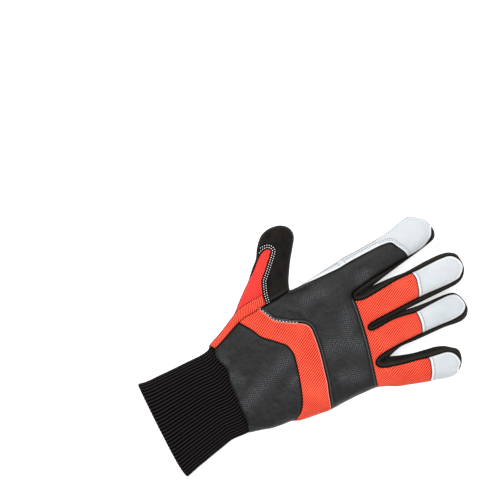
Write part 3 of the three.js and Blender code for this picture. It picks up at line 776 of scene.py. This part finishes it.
FOURCHETTE_RULES = [
    ("fourchette_index_middle", left("index_middle_strip")),
    ("fourchette_middle_ring", left("middle_ring_strip")),
    ("fourchette_ring_little", left("ring_little_strip")),
]
BACK_RULES = FOURCHETTE_RULES + [
    ("thumb_back", right("thumb_root"), left("gusset_edge")),
    ("thumb_gusset", right("thumb_root"), right("strap_edge")),
    ("thumb_strap", right("thumb_root")),
    ("little_tip_cap", left("little_cap_edge"), across(47, 100)),
    ("ring_tip_cap", left("ring_cap_edge"), across(14.5, 46)),
    ("middle_tip_cap", left("middle_cap_edge"), across(-15, 14.4)),
    ("index_tip_cap", left("index_edge"), across(-100, -16)),
    ("back_wrist_panel", right("wrist_edge")),
    ("back_chevron_band", right("knuckle_low")),
    ("back_fingers_panel", left("knuckle_top"), across(-16.5, 100)),
    ("back_knuckle_panel",),
]
PALM_RULES = FOURCHETTE_RULES + [
    ("thumb_palm", right("thumb_seam")),
    ("palm_leather", left("patch_top")),
    ("palm_patch",),
]

back = Side(BACK_CUFF_SEAM, BACK_SEAMS, {}, up=True)
back.classify(BACK_RULES)
palm = Side(PALM_CUFF_SEAM, PALM_SEAMS, QUILTING, up=False)
palm.classify(PALM_RULES)


def select_only(piece):
    bpy.ops.object.select_all(action="DESELECT")
    piece.select_set(True)
    bpy.context.view_layer.objects.active = piece


def add_modifier(piece, kind, **settings):
    """A modifier with its settings, applied at once."""
    select_only(piece)
    modifier = piece.modifiers.new(kind.title(), kind)
    for name, value in settings.items():
        setattr(modifier, name, value)
    bpy.ops.object.modifier_apply(modifier=modifier.name)


def new_piece(name, points, faces, unrolled, marks):
    """A piece from points in millimetres, with its unrolled places as a UV map, and its marks."""
    mesh = bpy.data.meshes.new(name)
    mesh.from_pydata((points * MM).tolist(), [], faces.tolist())
    cloth = mesh.uv_layers.new(name="cloth")
    loops = np.zeros(len(mesh.loops), np.int32)
    mesh.loops.foreach_get("vertex_index", loops)
    cloth.data.foreach_set("uv", unrolled[loops].astype(np.float32).ravel())
    for mark, values in zip(MARKS, marks.T):
        attribute = mesh.attributes.new(mark, "FLOAT", "POINT")
        attribute.data.foreach_set("value", np.ascontiguousarray(values, dtype=np.float32))
    piece = bpy.data.objects.new(name, mesh)
    bpy.context.scene.collection.objects.link(piece)
    return piece


# Edges sharper than this stay sharp, in degrees: on the covers, and on the cuff and the stitches
COVER_ANGLE = 55
ROUND_ANGLE = 80


def merge_doubles(piece, distance=0.01):
    select_only(piece)
    bpy.ops.object.mode_set(mode="EDIT")
    bpy.ops.mesh.select_all(action="SELECT")
    bpy.ops.mesh.remove_doubles(threshold=distance * MM)
    bpy.ops.object.mode_set(mode="OBJECT")


def smooth_shading(piece, degrees=COVER_ANGLE):
    select_only(piece)
    bpy.ops.object.shade_smooth_by_angle(angle=math.radians(degrees))


def dress(piece, finish, slot, *nodes):
    """Gives a finished piece its material and its place in the frame."""
    piece.data.materials.clear()
    piece.data.materials.append(finish)
    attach(piece, "root")
    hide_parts(*nodes)
    return piece


def sew(name, layouts, wall):
    """A piece of leather or cloth in its true shape: its faces of each side, joined at the outline."""
    points, faces, unrolled, marks, count = [], [], [], [], 0
    for layout in layouts:
        skin_points, skin_faces, places, skin_marks = layout.skin(name)
        points.append(skin_points)
        faces.append(skin_faces + count)
        unrolled.append(places)
        marks.append(skin_marks)
        count += len(skin_points)
    piece = new_piece(name + "_cover", *(np.vstack(part) for part in (points, faces, unrolled, marks)))
    merge_doubles(piece)
    add_modifier(piece, "SOLIDIFY", thickness=wall * MM, offset=-1, use_rim=True)
    smooth_shading(piece)
    return piece


# The cuff's wall, its rounded end and its ribs, in millimetres, and the fineness of its grid
CUFF_START = -66
CUFF_WALL = 2.3
CUFF_FOLD = 1.2
CUFF_MIDDLE = 8
CUFF_HALF = 42
LOWEST_CUFF = 0.05
WIDE_ROW = 3
RIBS = 66
RIB_POINTS = 7
RIB_DEPTH = 1.05
RIB_ROUNDNESS = 0.75
RIB_SCALLOP = 0.35
OUTSIDE_ROWS = 56
FOLD_ROWS = 6
INSIDE_ROWS = 16
RING_SAMPLES = 6000
KNIT_ROW = 1.35
CUFF_MERGE = 0.001

# The cuff's soft unevenness: how far it sways and puffs, over which lengths
SWAY = 0.5
PUFF = 0.3
SWAY_AROUND = 60
SWAY_ALONG = 18
SWAY_SEED = 5


def squared_ring(count):
    """Points of a superellipse of half width and height 1, spaced evenly where the cuff is wide."""
    turn = np.linspace(0, 2 * np.pi, RING_SAMPLES)
    power = 2 / CUFF_SQUARENESS
    x = np.sign(np.cos(turn)) * np.abs(np.cos(turn)) ** power
    z = np.sign(np.sin(turn)) * np.abs(np.sin(turn)) ** power
    wide = (CUFF_RIGHT[WIDE_ROW][1] - CUFF_LEFT[WIDE_ROW][1]) / 2
    high = CUFF_TOP[WIDE_ROW][1]
    travelled = np.concatenate([[0], np.cumsum(np.hypot(np.diff(x) * wide, np.diff(z) * high))])
    places = np.linspace(0, travelled[-1], count)
    return np.interp(places, travelled, x), np.interp(places, travelled, z), places


def make_cuff():
    """A fine grid rolled into a ribbed tube, folded in at its open end and back up inside."""
    around, rows = RIBS * RIB_POINTS, OUTSIDE_ROWS + FOLD_ROWS + INSIDE_ROWS
    bpy.ops.object.select_all(action="DESELECT")
    bpy.ops.mesh.primitive_grid_add(x_subdivisions=around, y_subdivisions=rows, size=2, calc_uvs=False)
    cuff = bpy.context.object
    cuff.name = cuff.data.name = "knitted_cuff"
    flat = np.zeros(len(cuff.data.vertices) * 3)
    cuff.data.vertices.foreach_get("co", flat)
    flat = flat.reshape(-1, 3)
    column = np.rint((flat[:, 0] + 1) / 2 * around).astype(int)
    row = np.rint((flat[:, 1] + 1) / 2 * rows).astype(int)

    # Down the outside, round the fold and up the inside: the share of the length, and how deep in the wall
    outward = row <= OUTSIDE_ROWS
    turn = np.clip((row - OUTSIDE_ROWS) / FOLD_ROWS, 0, 1) * np.pi
    inner = np.clip((row - OUTSIDE_ROWS - FOLD_ROWS) / INSIDE_ROWS, 0, 1)
    down = np.where(outward, row / OUTSIDE_ROWS, 1 - inner)
    depth = (1 - np.cos(turn)) / 2 * CUFF_WALL

    ring_x, ring_z, ring_places = squared_ring(around + 1)
    x0, z0 = ring_x[column], ring_z[column]
    end = read_off(CUFF_END, x0 * CUFF_HALF + CUFF_MIDDLE) + CUFF_FOLD
    y = CUFF_START + (end - CUFF_START) * down
    low, high = read_off(CUFF_LEFT, y), read_off(CUFF_RIGHT, y)
    half = (high - low) / 2 - depth
    rise = np.where(z0 > 0, read_off(CUFF_TOP, y), read_off(CUFF_UNDER, y)) - depth

    # Rounded ribs with narrow gaps between them, and a scalloped end
    rib = np.abs(np.sin(np.pi * column / RIB_POINTS)) ** RIB_ROUNDNESS
    sway = np.array([
        noise.noise((a / SWAY_AROUND, b / SWAY_ALONG, SWAY_SEED)) for a, b in zip(ring_places[column], y)
    ])
    ribbed = RIB_DEPTH * (1 - rib) * np.where(outward, 1, 1 - turn / np.pi)
    length = np.hypot(x0, z0)
    x = (low + high) / 2 + x0 * half - x0 / length * ribbed + sway * SWAY
    z = SIDE_SEAM + z0 * rise - z0 / length * ribbed + PUFF * sway * z0
    y = y - np.sin(turn) * CUFF_FOLD + RIB_SCALLOP * (rib - 1) * down
    z = np.maximum(z, LOWEST_CUFF)
    cuff.data.vertices.foreach_set("co", (np.column_stack([x, y, z]) * MM).ravel())

    # The knit follows the ribs: one unit of its map is one rib across and one millimetre along
    cloth = cuff.data.uv_layers.new(name="cloth")
    loops = np.zeros(len(cuff.data.loops), np.int32)
    cuff.data.loops.foreach_get("vertex_index", loops)
    places = np.column_stack([column / RIB_POINTS, row * KNIT_ROW])[loops]
    cloth.data.foreach_set("uv", places.astype(np.float32).ravel())
    merge_doubles(cuff, CUFF_MERGE)
    bpy.ops.object.mode_set(mode="EDIT")
    bpy.ops.mesh.select_mode(type="EDGE")
    bpy.ops.mesh.select_all(action="DESELECT")
    bpy.ops.mesh.select_non_manifold()
    bpy.ops.mesh.bridge_edge_loops()
    bpy.ops.mesh.select_all(action="SELECT")
    bpy.ops.mesh.normals_make_consistent(inside=False)
    bpy.ops.object.mode_set(mode="OBJECT")
    smooth_shading(cuff, ROUND_ANGLE)
    return cuff


# Stitches in millimetres
STITCH_PITCH = {"white": 2.05, "grey": 1.9, "black": 2.0}
STITCH_LENGTH = {"white": 0.9, "grey": 1.1, "black": 1.4}
STITCH_WIDTH = {"white": 0.85, "grey": 0.7, "black": 0.5}
STITCH_SAG = 0.16
STITCH_SINK = 0.02
STITCH_BLUNTNESS = 0.7
STITCH_THICKNESS = 0.8
STITCH_CROWN = 0.6
STITCH_SKEW = 0.12
SKEW_SPREAD = 3
HEADING_STEP = 0.4
RAY_START = 60

# A stitch is left out where the cover is steeper than this, or lies this close to the side seam's height
STEEPEST = 0.35
SEAM_MARGIN = 1


def stitch_template(length, width):
    """One short raised thread that dips into the material at both ends, along X."""
    bpy.ops.object.select_all(action="DESELECT")
    bpy.ops.mesh.primitive_uv_sphere_add(segments=8, ring_count=6, radius=0.5)
    stitch = bpy.context.object
    bpy.ops.transform.rotate(value=math.pi / 2, orient_axis="Y", center_override=(0, 0, 0))
    bpy.ops.object.transform_apply(location=False, rotation=True, scale=True)
    points = np.array([vertex.co for vertex in stitch.data.vertices])
    faces = [tuple(face.vertices) for face in stitch.data.polygons]
    bpy.data.objects.remove(stitch)
    x = np.sign(points[:, 0]) * (2 * np.abs(points[:, 0])) ** STITCH_BLUNTNESS / 2
    z = points[:, 2] * width * STITCH_THICKNESS + STITCH_SAG * (STITCH_CROWN - (2 * x) ** 2)
    return np.column_stack([x * length, points[:, 1] * width, z]), faces


def surface_of(piece):
    vertices = [vertex.co for vertex in piece.data.vertices]
    return BVHTree.FromPolygons(vertices, [tuple(face.vertices) for face in piece.data.polygons])


def stitch_rows(name, thread, surfaces, finish, slot):
    """All the stitches of one thread, as one piece, each lying on the piece that it is sewn in."""
    vertices, faces = [], []
    for row in ROWS:
        if row["thread"] != thread:
            continue
        side = back if row["up"] else palm
        facing = 1 if row["up"] else -1
        line = side.row_line(row)
        surface = surfaces[row["piece"]]
        travelled = np.concatenate([[0], np.cumsum(np.linalg.norm(np.diff(line, axis=0), axis=1))])
        pitch = row.get("pitch", STITCH_PITCH[thread])
        length = row.get("length", STITCH_LENGTH[thread])
        width = row.get("wide", STITCH_WIDTH[thread])
        shape, shape_faces = stitch_template(length, width)
        for place in np.arange(row.get("start", 0.5) * pitch, travelled[-1], pitch):
            x, y = (np.interp(place, travelled, line[:, k]) for k in (0, 1))
            x2, y2 = (np.interp(place + HEADING_STEP, travelled, line[:, k]) for k in (0, 1))
            if y < row.get("beyond", -math.inf) or x > row.get("left_of", math.inf):
                continue
            heading = Vector((x2 - x, y2 - y, 0)).normalized()
            start = Vector((x * MM, y * MM, (SIDE_SEAM + facing * RAY_START) * MM))
            spot, normal, _, _ = surface.ray_cast(start, Vector((0, 0, -facing)))
            if spot is None or normal.z * facing < STEEPEST:
                continue
            if (spot.z / MM - SIDE_SEAM) * facing < SEAM_MARGIN:
                continue
            along = (heading - normal * heading.dot(normal)).normalized()
            aside = normal.cross(along)
            skew = noise.noise((x * SKEW_SPREAD, y * SKEW_SPREAD, 1)) * STITCH_SKEW
            along, aside = along + aside * skew, aside - along * skew
            base = spot - normal * STITCH_SINK * MM
            count = len(vertices)
            for a, b, c in shape * MM:
                vertices.append(base + along * a + aside * b + normal * c)
            faces += [tuple(k + count for k in face) for face in shape_faces]
    mesh = bpy.data.meshes.new(name)
    mesh.from_pydata(vertices, [], faces)
    stitches = bpy.data.objects.new(name, mesh)
    bpy.context.scene.collection.objects.link(stitches)
    smooth_shading(stitches, ROUND_ANGLE)
    return dress(stitches, finish, slot)


class Shade:
    """A shader value that plain sums can be written with."""

    def __init__(self, finish, socket):
        self.finish, self.socket = finish, socket

    def __add__(self, other):
        return self.finish.maths("ADD", self, other)

    def __sub__(self, other):
        return self.finish.maths("SUBTRACT", self, other)

    def __rsub__(self, other):
        return self.finish.maths("SUBTRACT", other, self)

    def __mul__(self, other):
        return self.finish.maths("MULTIPLY", self, other)

    def __truediv__(self, other):
        return self.finish.maths("DIVIDE", self, other)

    __radd__ = __add__
    __rmul__ = __mul__


class Finish:
    """A material with its shader, whose nodes are added and joined by short calls."""

    def __init__(self, name, **shader_values):
        self.material = bpy.data.materials.new(name)
        self.material.use_nodes = True
        self.tree = self.material.node_tree
        self.shader = self.tree.nodes["Principled BSDF"]
        for socket, value in shader_values.items():
            self.shader.inputs[socket.replace("_", " ")].default_value = value

    def node(self, kind, settings=None, inputs=None, output=0):
        """A node with its settings, then its sockets' values or links. Returns one of its outputs."""
        node = self.tree.nodes.new(kind)
        for name, value in (settings or {}).items():
            setattr(node, name, value)
        for name, value in (inputs or {}).items():
            self.fill(node.inputs[name], value)
        return Shade(self, node.outputs[output])

    def fill(self, socket, value):
        if isinstance(value, Shade):
            self.tree.links.new(value.socket, socket)
        else:
            socket.default_value = value

    def maths(self, operation, *values):
        return self.node("ShaderNodeMath", {"operation": operation}, dict(enumerate(values)))

    def cloth_place(self):
        """The place on the unrolled cloth, in millimetres."""
        return self.node("ShaderNodeUVMap", {"uv_map": "cloth"})

    def mark(self, name):
        """One of the pieces' marks, such as how far the nearest seam is in millimetres."""
        return self.node("ShaderNodeAttribute", {"attribute_name": name}, None, "Fac")

    def parts(self, vector):
        node = self.tree.nodes.new("ShaderNodeSeparateXYZ")
        self.fill(node.inputs[0], vector)
        return Shade(self, node.outputs[0]), Shade(self, node.outputs[1])

    def speckle(self, place, scale, detail=2.0, roughness=0.5):
        inputs = {"Vector": place, "Scale": scale, "Detail": detail, "Roughness": roughness}
        return self.node("ShaderNodeTexNoise", None, inputs, "Fac")

    def ramp(self, value, low, high):
        """0 where the value is low, 1 where it is high."""
        inputs = {"Value": value, "From Min": low, "From Max": high}
        return self.node("ShaderNodeMapRange", {"clamp": True}, inputs)

    def blend(self, share, one, other):
        """From one colour to the other."""
        colours = {"Factor": share, 6: one, 7: other}
        return self.node("ShaderNodeMix", {"data_type": "RGBA"}, colours, 2)

    def wave(self, place, pitch):
        """A soft wave between 0 and 1, with its crests a pitch apart."""
        return self.maths("SINE", place * (2 * math.pi / pitch)) * 0.5 + 0.5

    def lined(self, colour, mark, reach, line):
        """A line along seams, hems or creases: full up to the first distance, gone at the second."""
        return self.blend(self.ramp(self.mark(mark), *reach), line, colour)

    def bumped(self, height, strength, distance, under=None):
        inputs = {"Height": height, "Strength": strength, "Distance": distance * MM}
        if under:
            inputs["Normal"] = under
        return self.node("ShaderNodeBump", None, inputs)

    def done(self, colour, roughness, normal):
        self.fill(self.shader.inputs["Base Color"], colour)
        self.fill(self.shader.inputs["Roughness"], roughness)
        self.fill(self.shader.inputs["Normal"], normal)
        return self.material


# Colours of the finishes, as linear red, green, blue and cover
# Black leather: shine and the edge colour beside it are painted highlights, shadow is painted shade
BLACK_LEATHER = {
    "deep": (0.003, 0.0034, 0.004, 1), "worn": (0.0068, 0.0072, 0.0078, 1), "shine": (0.092, 0.094, 0.1, 1),
    "ridge_highlight": (0.045, 0.046, 0.049, 1), "shadow": (0.0004, 0.0003, 0.0003, 1),
}
# White leather: crease and seam are painted shade, and the rim colour beside seams a painted highlight
WHITE_LEATHER = {
    "cool": (0.47, 0.505, 0.53, 1), "pale": (0.56, 0.585, 0.6, 1), "pores": (0.42, 0.45, 0.47, 1),
    "rim_highlight": (0.78, 0.78, 0.78, 1), "crease": (0.22, 0.222, 0.232, 1), "seam": (0.14, 0.14, 0.145, 1),
}
ORANGE_TWILL = {"light": (0.99, 0.135, 0.068, 1), "dark": (0.43, 0.0, 0.0, 1)}
ORANGE_RIBBING = {"light": (0.95, 0.125, 0.067, 1), "dark": (0.42, 0.0, 0.0, 1)}
RED_TWILL = {"light": (0.95, 0.075, 0.058, 1), "dark": (0.5, 0.0, 0.0, 1)}
# Twill edges: lit is a painted highlight, seam and crease are painted shade
TWILL_EDGE = {"lit": (1, 0.6, 0.5, 1), "seam": (0.01, 0.0006, 0.0005, 1), "crease": (0.02, 0.003, 0.0015, 1)}
# Dark textile: shadow is painted shade; the band colour makes a lighter band beside seams
DARK_TEXTILE = {
    "deep": (0.0035, 0.0029, 0.0024, 1), "light": (0.0155, 0.0125, 0.0105, 1),
    "seam_band": (0.035, 0.032, 0.026, 1), "shadow": (0.0006, 0.0004, 0.0003, 1),
}
# Rib knit: light is a painted highlight on the rib crowns, shaped also by the knit's loops and fuzz; deep is
# painted shade in the gaps
RIB_KNIT = {"deep": (0.0006, 0.0003, 0.0004, 1), "light": (0.032, 0.025, 0.0275, 1)}
WHITE_THREAD = {"light": (0.95, 0.95, 0.93, 1), "shadow": (0.85, 0.85, 0.83, 1)}
GREY_THREAD = {"light": (0.07, 0.09, 0.12, 1), "shadow": (0.035, 0.045, 0.065, 1)}
BLACK_THREAD = {"light": (0.006, 0.006, 0.0065, 1), "shadow": (0.002, 0.002, 0.002, 1)}


def black_leather():
    """Black synthetic leather with a fine pebble grain in slanting rows, painted highlight where it bulges,
    and painted shade and a painted highlight along its turned edges and seams.
    """
    finish = Finish("black_leather", Specular_IOR_Level=0.27)
    place = finish.cloth_place()
    turn = {"Vector": place, "Rotation": (0, 0, math.radians(17)), "Scale": (0.85, 1, 1)}
    rows = {"Vector": finish.node("ShaderNodeMapping", None, turn), "Scale": 0.66, "Randomness": 0.28}
    pebbles = finish.node("ShaderNodeTexVoronoi", {"voronoi_dimensions": "2D"}, rows, "Distance")
    grain = 1 - finish.ramp(pebbles, 0.08, 0.7)
    pores = finish.speckle(place, scale=2.6, detail=3.0)
    broad = finish.speckle(place, scale=0.05, detail=3.0, roughness=0.6)
    # Painted highlight: the grain is painted shiny in the shine patches and in broad random spots
    shine_share = finish.ramp(finish.mark("painted_shine") + broad * 1.2, 0.55, 1.7)
    light = shine_share * finish.ramp(grain, 0.4, 1)
    ground = finish.blend(broad, BLACK_LEATHER["deep"], BLACK_LEATHER["worn"])
    colour = finish.blend(light, ground, BLACK_LEATHER["shine"])
    # Painted light along lapped edges: a dark line of painted shade, a painted highlight on the turned edge
    # and another dark line; then painted shade along seams and the cuff
    colour = finish.lined(colour, "hem_gap", (2.8, 3.2), BLACK_LEATHER["shadow"])
    colour = finish.lined(colour, "hem_gap", (1.8, 2.2), BLACK_LEATHER["ridge_highlight"])
    colour = finish.lined(colour, "hem_gap", (0.9, 1.3), BLACK_LEATHER["shadow"])
    colour = finish.lined(colour, "seam_gap", (0.5, 1.1), BLACK_LEATHER["shadow"])
    wrinkles = finish.speckle(place, scale=0.11, detail=3.0, roughness=0.55)
    creased = finish.bumped(wrinkles, strength=0.8, distance=2.0)
    height = grain * (shine_share * 0.75 + 0.25) + pores * 0.35
    normal = finish.bumped(height, strength=0.8, distance=0.34, under=creased)
    return finish.done(colour, 0.46 + pores * 0.16 - light * 0.1, normal)


def white_leather():
    """Soft white grain leather, a little cool, with fine creases, painted shade along creases, outlines and
    seams, and a painted highlight rim beside seams.
    """
    finish = Finish("white_leather", Specular_IOR_Level=0.35)
    place = finish.cloth_place()
    edges = {"voronoi_dimensions": "2D", "feature": "DISTANCE_TO_EDGE"}
    grain = finish.node("ShaderNodeTexVoronoi", edges, {"Vector": place, "Scale": 0.95}, "Distance")
    cells = finish.ramp(grain, 0.0, 0.16)
    creases = finish.speckle(place, scale=0.16, detail=4.0, roughness=0.62)
    broad = finish.speckle(place, scale=0.05, detail=3.0)
    tint = finish.blend(finish.ramp(broad, 0.3, 0.7), WHITE_LEATHER["cool"], WHITE_LEATHER["pale"])
    colour = finish.blend(cells * 0.4 + 0.6, WHITE_LEATHER["pores"], tint)
    # Painted highlight: a lighter rim within 1.4 mm of the seams, gone by 2.2 mm
    rim_highlight = finish.blend(0.75, colour, WHITE_LEATHER["rim_highlight"])
    colour = finish.lined(colour, "seam_gap", (1.4, 2.2), rim_highlight)
    # Painted shade: a grey line along creases and shaded outlines, and a darker line along seams
    colour = finish.lined(colour, "crease_gap", (0.1, 0.6), WHITE_LEATHER["crease"])
    colour = finish.lined(colour, "seam_gap", (0.1, 0.6), WHITE_LEATHER["seam"])
    creased = finish.bumped(creases, strength=0.5, distance=1.1)
    normal = finish.bumped(cells, strength=0.2, distance=0.14, under=creased)
    return finish.done(colour, 0.5 + broad * 0.16, normal)


def twill(name, colours, slant, pitch, cross_pitch, cross_share, edge_light=0.0):
    """Hard-wearing twill: lit ribs along a slant, with shaded gaps and threads across them, a painted
    highlight on turned edges and painted shade along seams.
    """
    finish = Finish(name, Specular_IOR_Level=0.15, Sheen_Weight=0.04, Sheen_Roughness=0.5)
    place = finish.cloth_place()
    x, y = finish.parts(place)
    sway = finish.speckle(place, scale=0.09, detail=1.0) * 0.7
    across = x * math.cos(slant) + y * math.sin(slant) + sway
    along = y * math.cos(slant) - x * math.sin(slant)
    ribs = finish.wave(across, pitch)
    rib_number = finish.maths("FLOOR", across / pitch)
    threads = finish.wave(along + rib_number * cross_pitch / 2, cross_pitch)
    fibre = finish.speckle(place, scale=3.5)
    fade = finish.speckle(place, scale=0.035)
    cover = ribs * (1 - cross_share) + threads * cross_share
    shade = finish.ramp(cover + fade * 0.5 + fibre * 0.14 - 0.32, 0.28, 0.72)
    colour = finish.blend(shade, colours["dark"], colours["light"])
    lit_edge = finish.blend(edge_light, colour, TWILL_EDGE["lit"])
    colour = finish.lined(colour, "hem_gap", (0.95, 1.3), lit_edge)
    # Painted shade: a dark line along seams, and a finer one along fine seams and shaded outlines
    colour = finish.lined(colour, "seam_gap", (0.35, 0.75), TWILL_EDGE["seam"])
    colour = finish.lined(colour, "crease_gap", (0.2, 0.5), TWILL_EDGE["crease"])
    normal = finish.bumped(cover + fibre * 0.25, strength=0.7, distance=0.4)
    return finish.done(colour, 0.8 + fibre * 0.1, normal)


def chevron_twill():
    slant = math.radians(28)
    return twill(
        "orange_twill", ORANGE_TWILL, slant, pitch=1.75, cross_pitch=1.5, cross_share=0.3, edge_light=0.4
    )


def strap_ribbing():
    slant = math.radians(72)
    return twill("orange_ribbing", ORANGE_RIBBING, slant, pitch=1.9, cross_pitch=1.7, cross_share=0.34)


def gusset_twill():
    slant = math.radians(28)
    return twill("red_twill", RED_TWILL, slant, pitch=1.75, cross_pitch=1.3, cross_share=0.3)


def dark_textile():
    """Brown-black napped knit between the fingers and on the thumb, lighter in a band beside its seams, with
    painted shade along seams and lapped edges.
    """
    finish = Finish("dark_textile", Specular_IOR_Level=0.1, Sheen_Weight=0.04, Sheen_Roughness=0.4)
    place = finish.cloth_place()
    nap = finish.speckle(place, scale=1.3, detail=4.0, roughness=0.7)
    broad = finish.speckle(place, scale=0.09, detail=3.0, roughness=0.6)
    shade = finish.ramp(nap * 0.45 + broad * 0.55, 0.36, 0.64)
    colour = finish.blend(shade, DARK_TEXTILE["deep"], DARK_TEXTILE["light"])
    # A lighter band within 2.5 mm of seams, gone by 4.5 mm; then painted shade along the seams and within
    # about 4 mm of lapped edges
    seam_band = finish.blend(0.45, colour, DARK_TEXTILE["seam_band"])
    colour = finish.lined(colour, "seam_gap", (2.5, 4.5), seam_band)
    colour = finish.lined(colour, "seam_gap", (0.7, 1.3), DARK_TEXTILE["shadow"])
    colour = finish.lined(colour, "hem_gap", (3.9, 5.2), DARK_TEXTILE["shadow"])
    hollows = finish.bumped(broad, strength=0.5, distance=1.8)
    normal = finish.bumped(nap, strength=0.5, distance=0.35, under=hollows)
    return finish.done(colour, 0.85 + nap * 0.1, normal)


def rib_knit():
    """Black-brown ribbed knit: a column of small slanting loops on each side of a rib, with a painted
    highlight along each rib's crown and painted shade in the gaps.
    """
    finish = Finish("rib_knit", Specular_IOR_Level=0.08, Sheen_Weight=0.02, Sheen_Roughness=0.4)
    place = finish.cloth_place()
    rib, along = finish.parts(place)
    slope = finish.maths("ABSOLUTE", finish.maths("FRACT", rib) - 0.5)
    loops = finish.wave(along + slope * 2.2, 1.25)
    fuzz = finish.speckle(place, scale=2.2, detail=3.0)
    # Painted highlight along the rib crowns and painted shade in the gaps between them, on ribs that the
    # cuff's shape already has
    crown = 1 - finish.ramp(slope, 0.04, 0.26)
    shade = finish.ramp(crown * 0.7 + loops * crown * 0.4 + fuzz * 0.4 - 0.2, 0.2, 1.0)
    colour = finish.blend(shade, RIB_KNIT["deep"], RIB_KNIT["light"])
    normal = finish.bumped(loops * crown + fuzz * 0.3, strength=0.6, distance=0.35)
    return finish.done(colour, 0.88, normal)


def thread(name, colours):
    """Twisted sewing thread."""
    finish = Finish(name, Specular_IOR_Level=0.3)
    place = finish.node("ShaderNodeTexCoord", None, None, "Object")
    fibre = finish.speckle(place, scale=2500.0)
    colour = finish.blend(fibre, colours["shadow"], colours["light"])
    return finish.done(colour, 0.6 + fibre * 0.1, finish.bumped(fibre, strength=0.3, distance=0.08))


# Each cover, the sides it lies on, its wall, its finish and its slot
leather, pale, twilled = black_leather(), white_leather(), chevron_twill()
ribbed, saturated, napped = strap_ribbing(), gusset_twill(), dark_textile()
COVERS = [
    ("back_wrist_panel", [back], LEATHER, leather, "black_leather"),
    ("back_chevron_band", [back], FABRIC, twilled, "red_fabric"),
    ("back_knuckle_panel", [back], LEATHER, leather, "black_leather"),
    ("back_fingers_panel", [back], FABRIC, twilled, "red_fabric"),
    ("index_tip_cap", [back], LEATHER, pale, "white_leather"),
    ("middle_tip_cap", [back], LEATHER, pale, "white_leather"),
    ("ring_tip_cap", [back], LEATHER, pale, "white_leather"),
    ("little_tip_cap", [back], LEATHER, pale, "white_leather"),
    ("fourchette_index_middle", [back, palm], FABRIC, napped, "dark_textile"),
    ("fourchette_middle_ring", [back, palm], FABRIC, napped, "dark_textile"),
    ("fourchette_ring_little", [back, palm], FABRIC, napped, "dark_textile"),
    ("thumb_back", [back], FABRIC, napped, "dark_textile"),
    ("thumb_gusset", [back], FABRIC, saturated, "red_fabric"),
    ("thumb_strap", [back], FABRIC, ribbed, "red_fabric"),
    ("palm_leather", [palm], LEATHER, pale, "white_leather"),
    ("palm_patch", [palm], PAD, pale, "white_leather"),
    ("thumb_palm", [palm], LEATHER, pale, "white_leather"),
]
surfaces = {}
for name, layouts, wall, finish, slot in COVERS:
    cover = sew(name, layouts, wall)
    surfaces[name] = surface_of(cover)
    dress(cover, finish, slot, name)
    name == "palm_patch"

dress(make_cuff(), rib_knit(), "dark_knit", "cuff")

# Each thread, its colours and the slot of its stitches
THREADS = [
    ("white", WHITE_THREAD, "white_thread"),
    ("grey", GREY_THREAD, "grey_thread"),
    ("black", BLACK_THREAD, "black_leather"),
]
for name, colours, slot in THREADS:
    stitch_rows(name + "_stitches", name, surfaces, thread(name + "_thread", colours), slot)

# The photograph looks straight down, with the hand turned so that the fingers point right and a little up
PICTURE_WIDTH = 435
PICTURE_CENTRE = (-94.9, -0.45)
PICTURE_TURN = math.radians(63)
LENS = 200
SENSOR = 36
MIDDLE_HEIGHT = 12
FARTHEST_SEEN = 20

# A white room with a glowing pale floor and two large lamps, in metres and watts
FLOOR_SIZE = 6
FLOOR_GLOW = 0.5
FLOOR_COLOURS = [(0.93, 0.93, 0.93, 1), (0.95, 0.95, 0.95, 1)]
WHITE = (1, 1, 1, 1)
ROOM_LIGHT = 0.62
LAMPS = [
    {"name": "key_light", "place": (-1.0, 0.1, 1.9), "size": 1.4, "watts": 36},
    {"name": "fill_light", "place": (0.9, 0.5, 1.9), "size": 1.8, "watts": 14},
]


def look_down():
    distance = PICTURE_WIDTH * LENS / SENSOR + MIDDLE_HEIGHT
    data = bpy.data.cameras.new("camera")
    data.lens, data.sensor_width = LENS, SENSOR
    data.clip_end = FARTHEST_SEEN
    camera = bpy.data.objects.new("camera", data)
    camera.location = (PICTURE_CENTRE[0] * MM, PICTURE_CENTRE[1] * MM, distance * MM)
    camera.rotation_euler = (0, 0, PICTURE_TURN)
    bpy.context.scene.collection.objects.link(camera)
    bpy.context.scene.camera = camera


def soft_light(name, place, size, watts):
    """A large square lamp aimed at the middle of the glove."""
    data = bpy.data.lights.new(name, "AREA")
    data.size, data.energy = size, watts
    lamp = bpy.data.objects.new(name, data)
    lamp.location = place
    lamp.rotation_euler = (-Vector(place)).to_track_quat("-Z", "Y").to_euler()
    bpy.context.scene.collection.objects.link(lamp)


def make_floor():
    bpy.ops.object.select_all(action="DESELECT")
    bpy.ops.mesh.primitive_plane_add(size=FLOOR_SIZE)
    floor = bpy.context.object
    floor.name = floor.data.name = "pale_floor"
    finish = Finish("pale_floor", Specular_IOR_Level=0.1)
    place = finish.node("ShaderNodeTexCoord", None, None, "Object")
    mottle = finish.speckle(place, scale=9.0, detail=3.0)
    colour = finish.blend(mottle, *FLOOR_COLOURS)
    finish.shader.inputs["Emission Color"].default_value = WHITE
    finish.shader.inputs["Emission Strength"].default_value = FLOOR_GLOW
    normal = finish.bumped(mottle, strength=0.02, distance=0.5)
    floor.data.materials.append(finish.done(colour, 0.85, normal))


def set_lighting():
    for lamp in LAMPS:
        soft_light(**lamp)
    world = bpy.data.worlds.new("white_room")
    world.use_nodes = True
    world.node_tree.nodes["Background"].inputs["Color"].default_value = WHITE
    world.node_tree.nodes["Background"].inputs["Strength"].default_value = ROOM_LIGHT
    bpy.context.scene.world = world
    bpy.context.scene.view_settings.view_transform = "Standard"


look_down()
make_floor()
set_lighting()
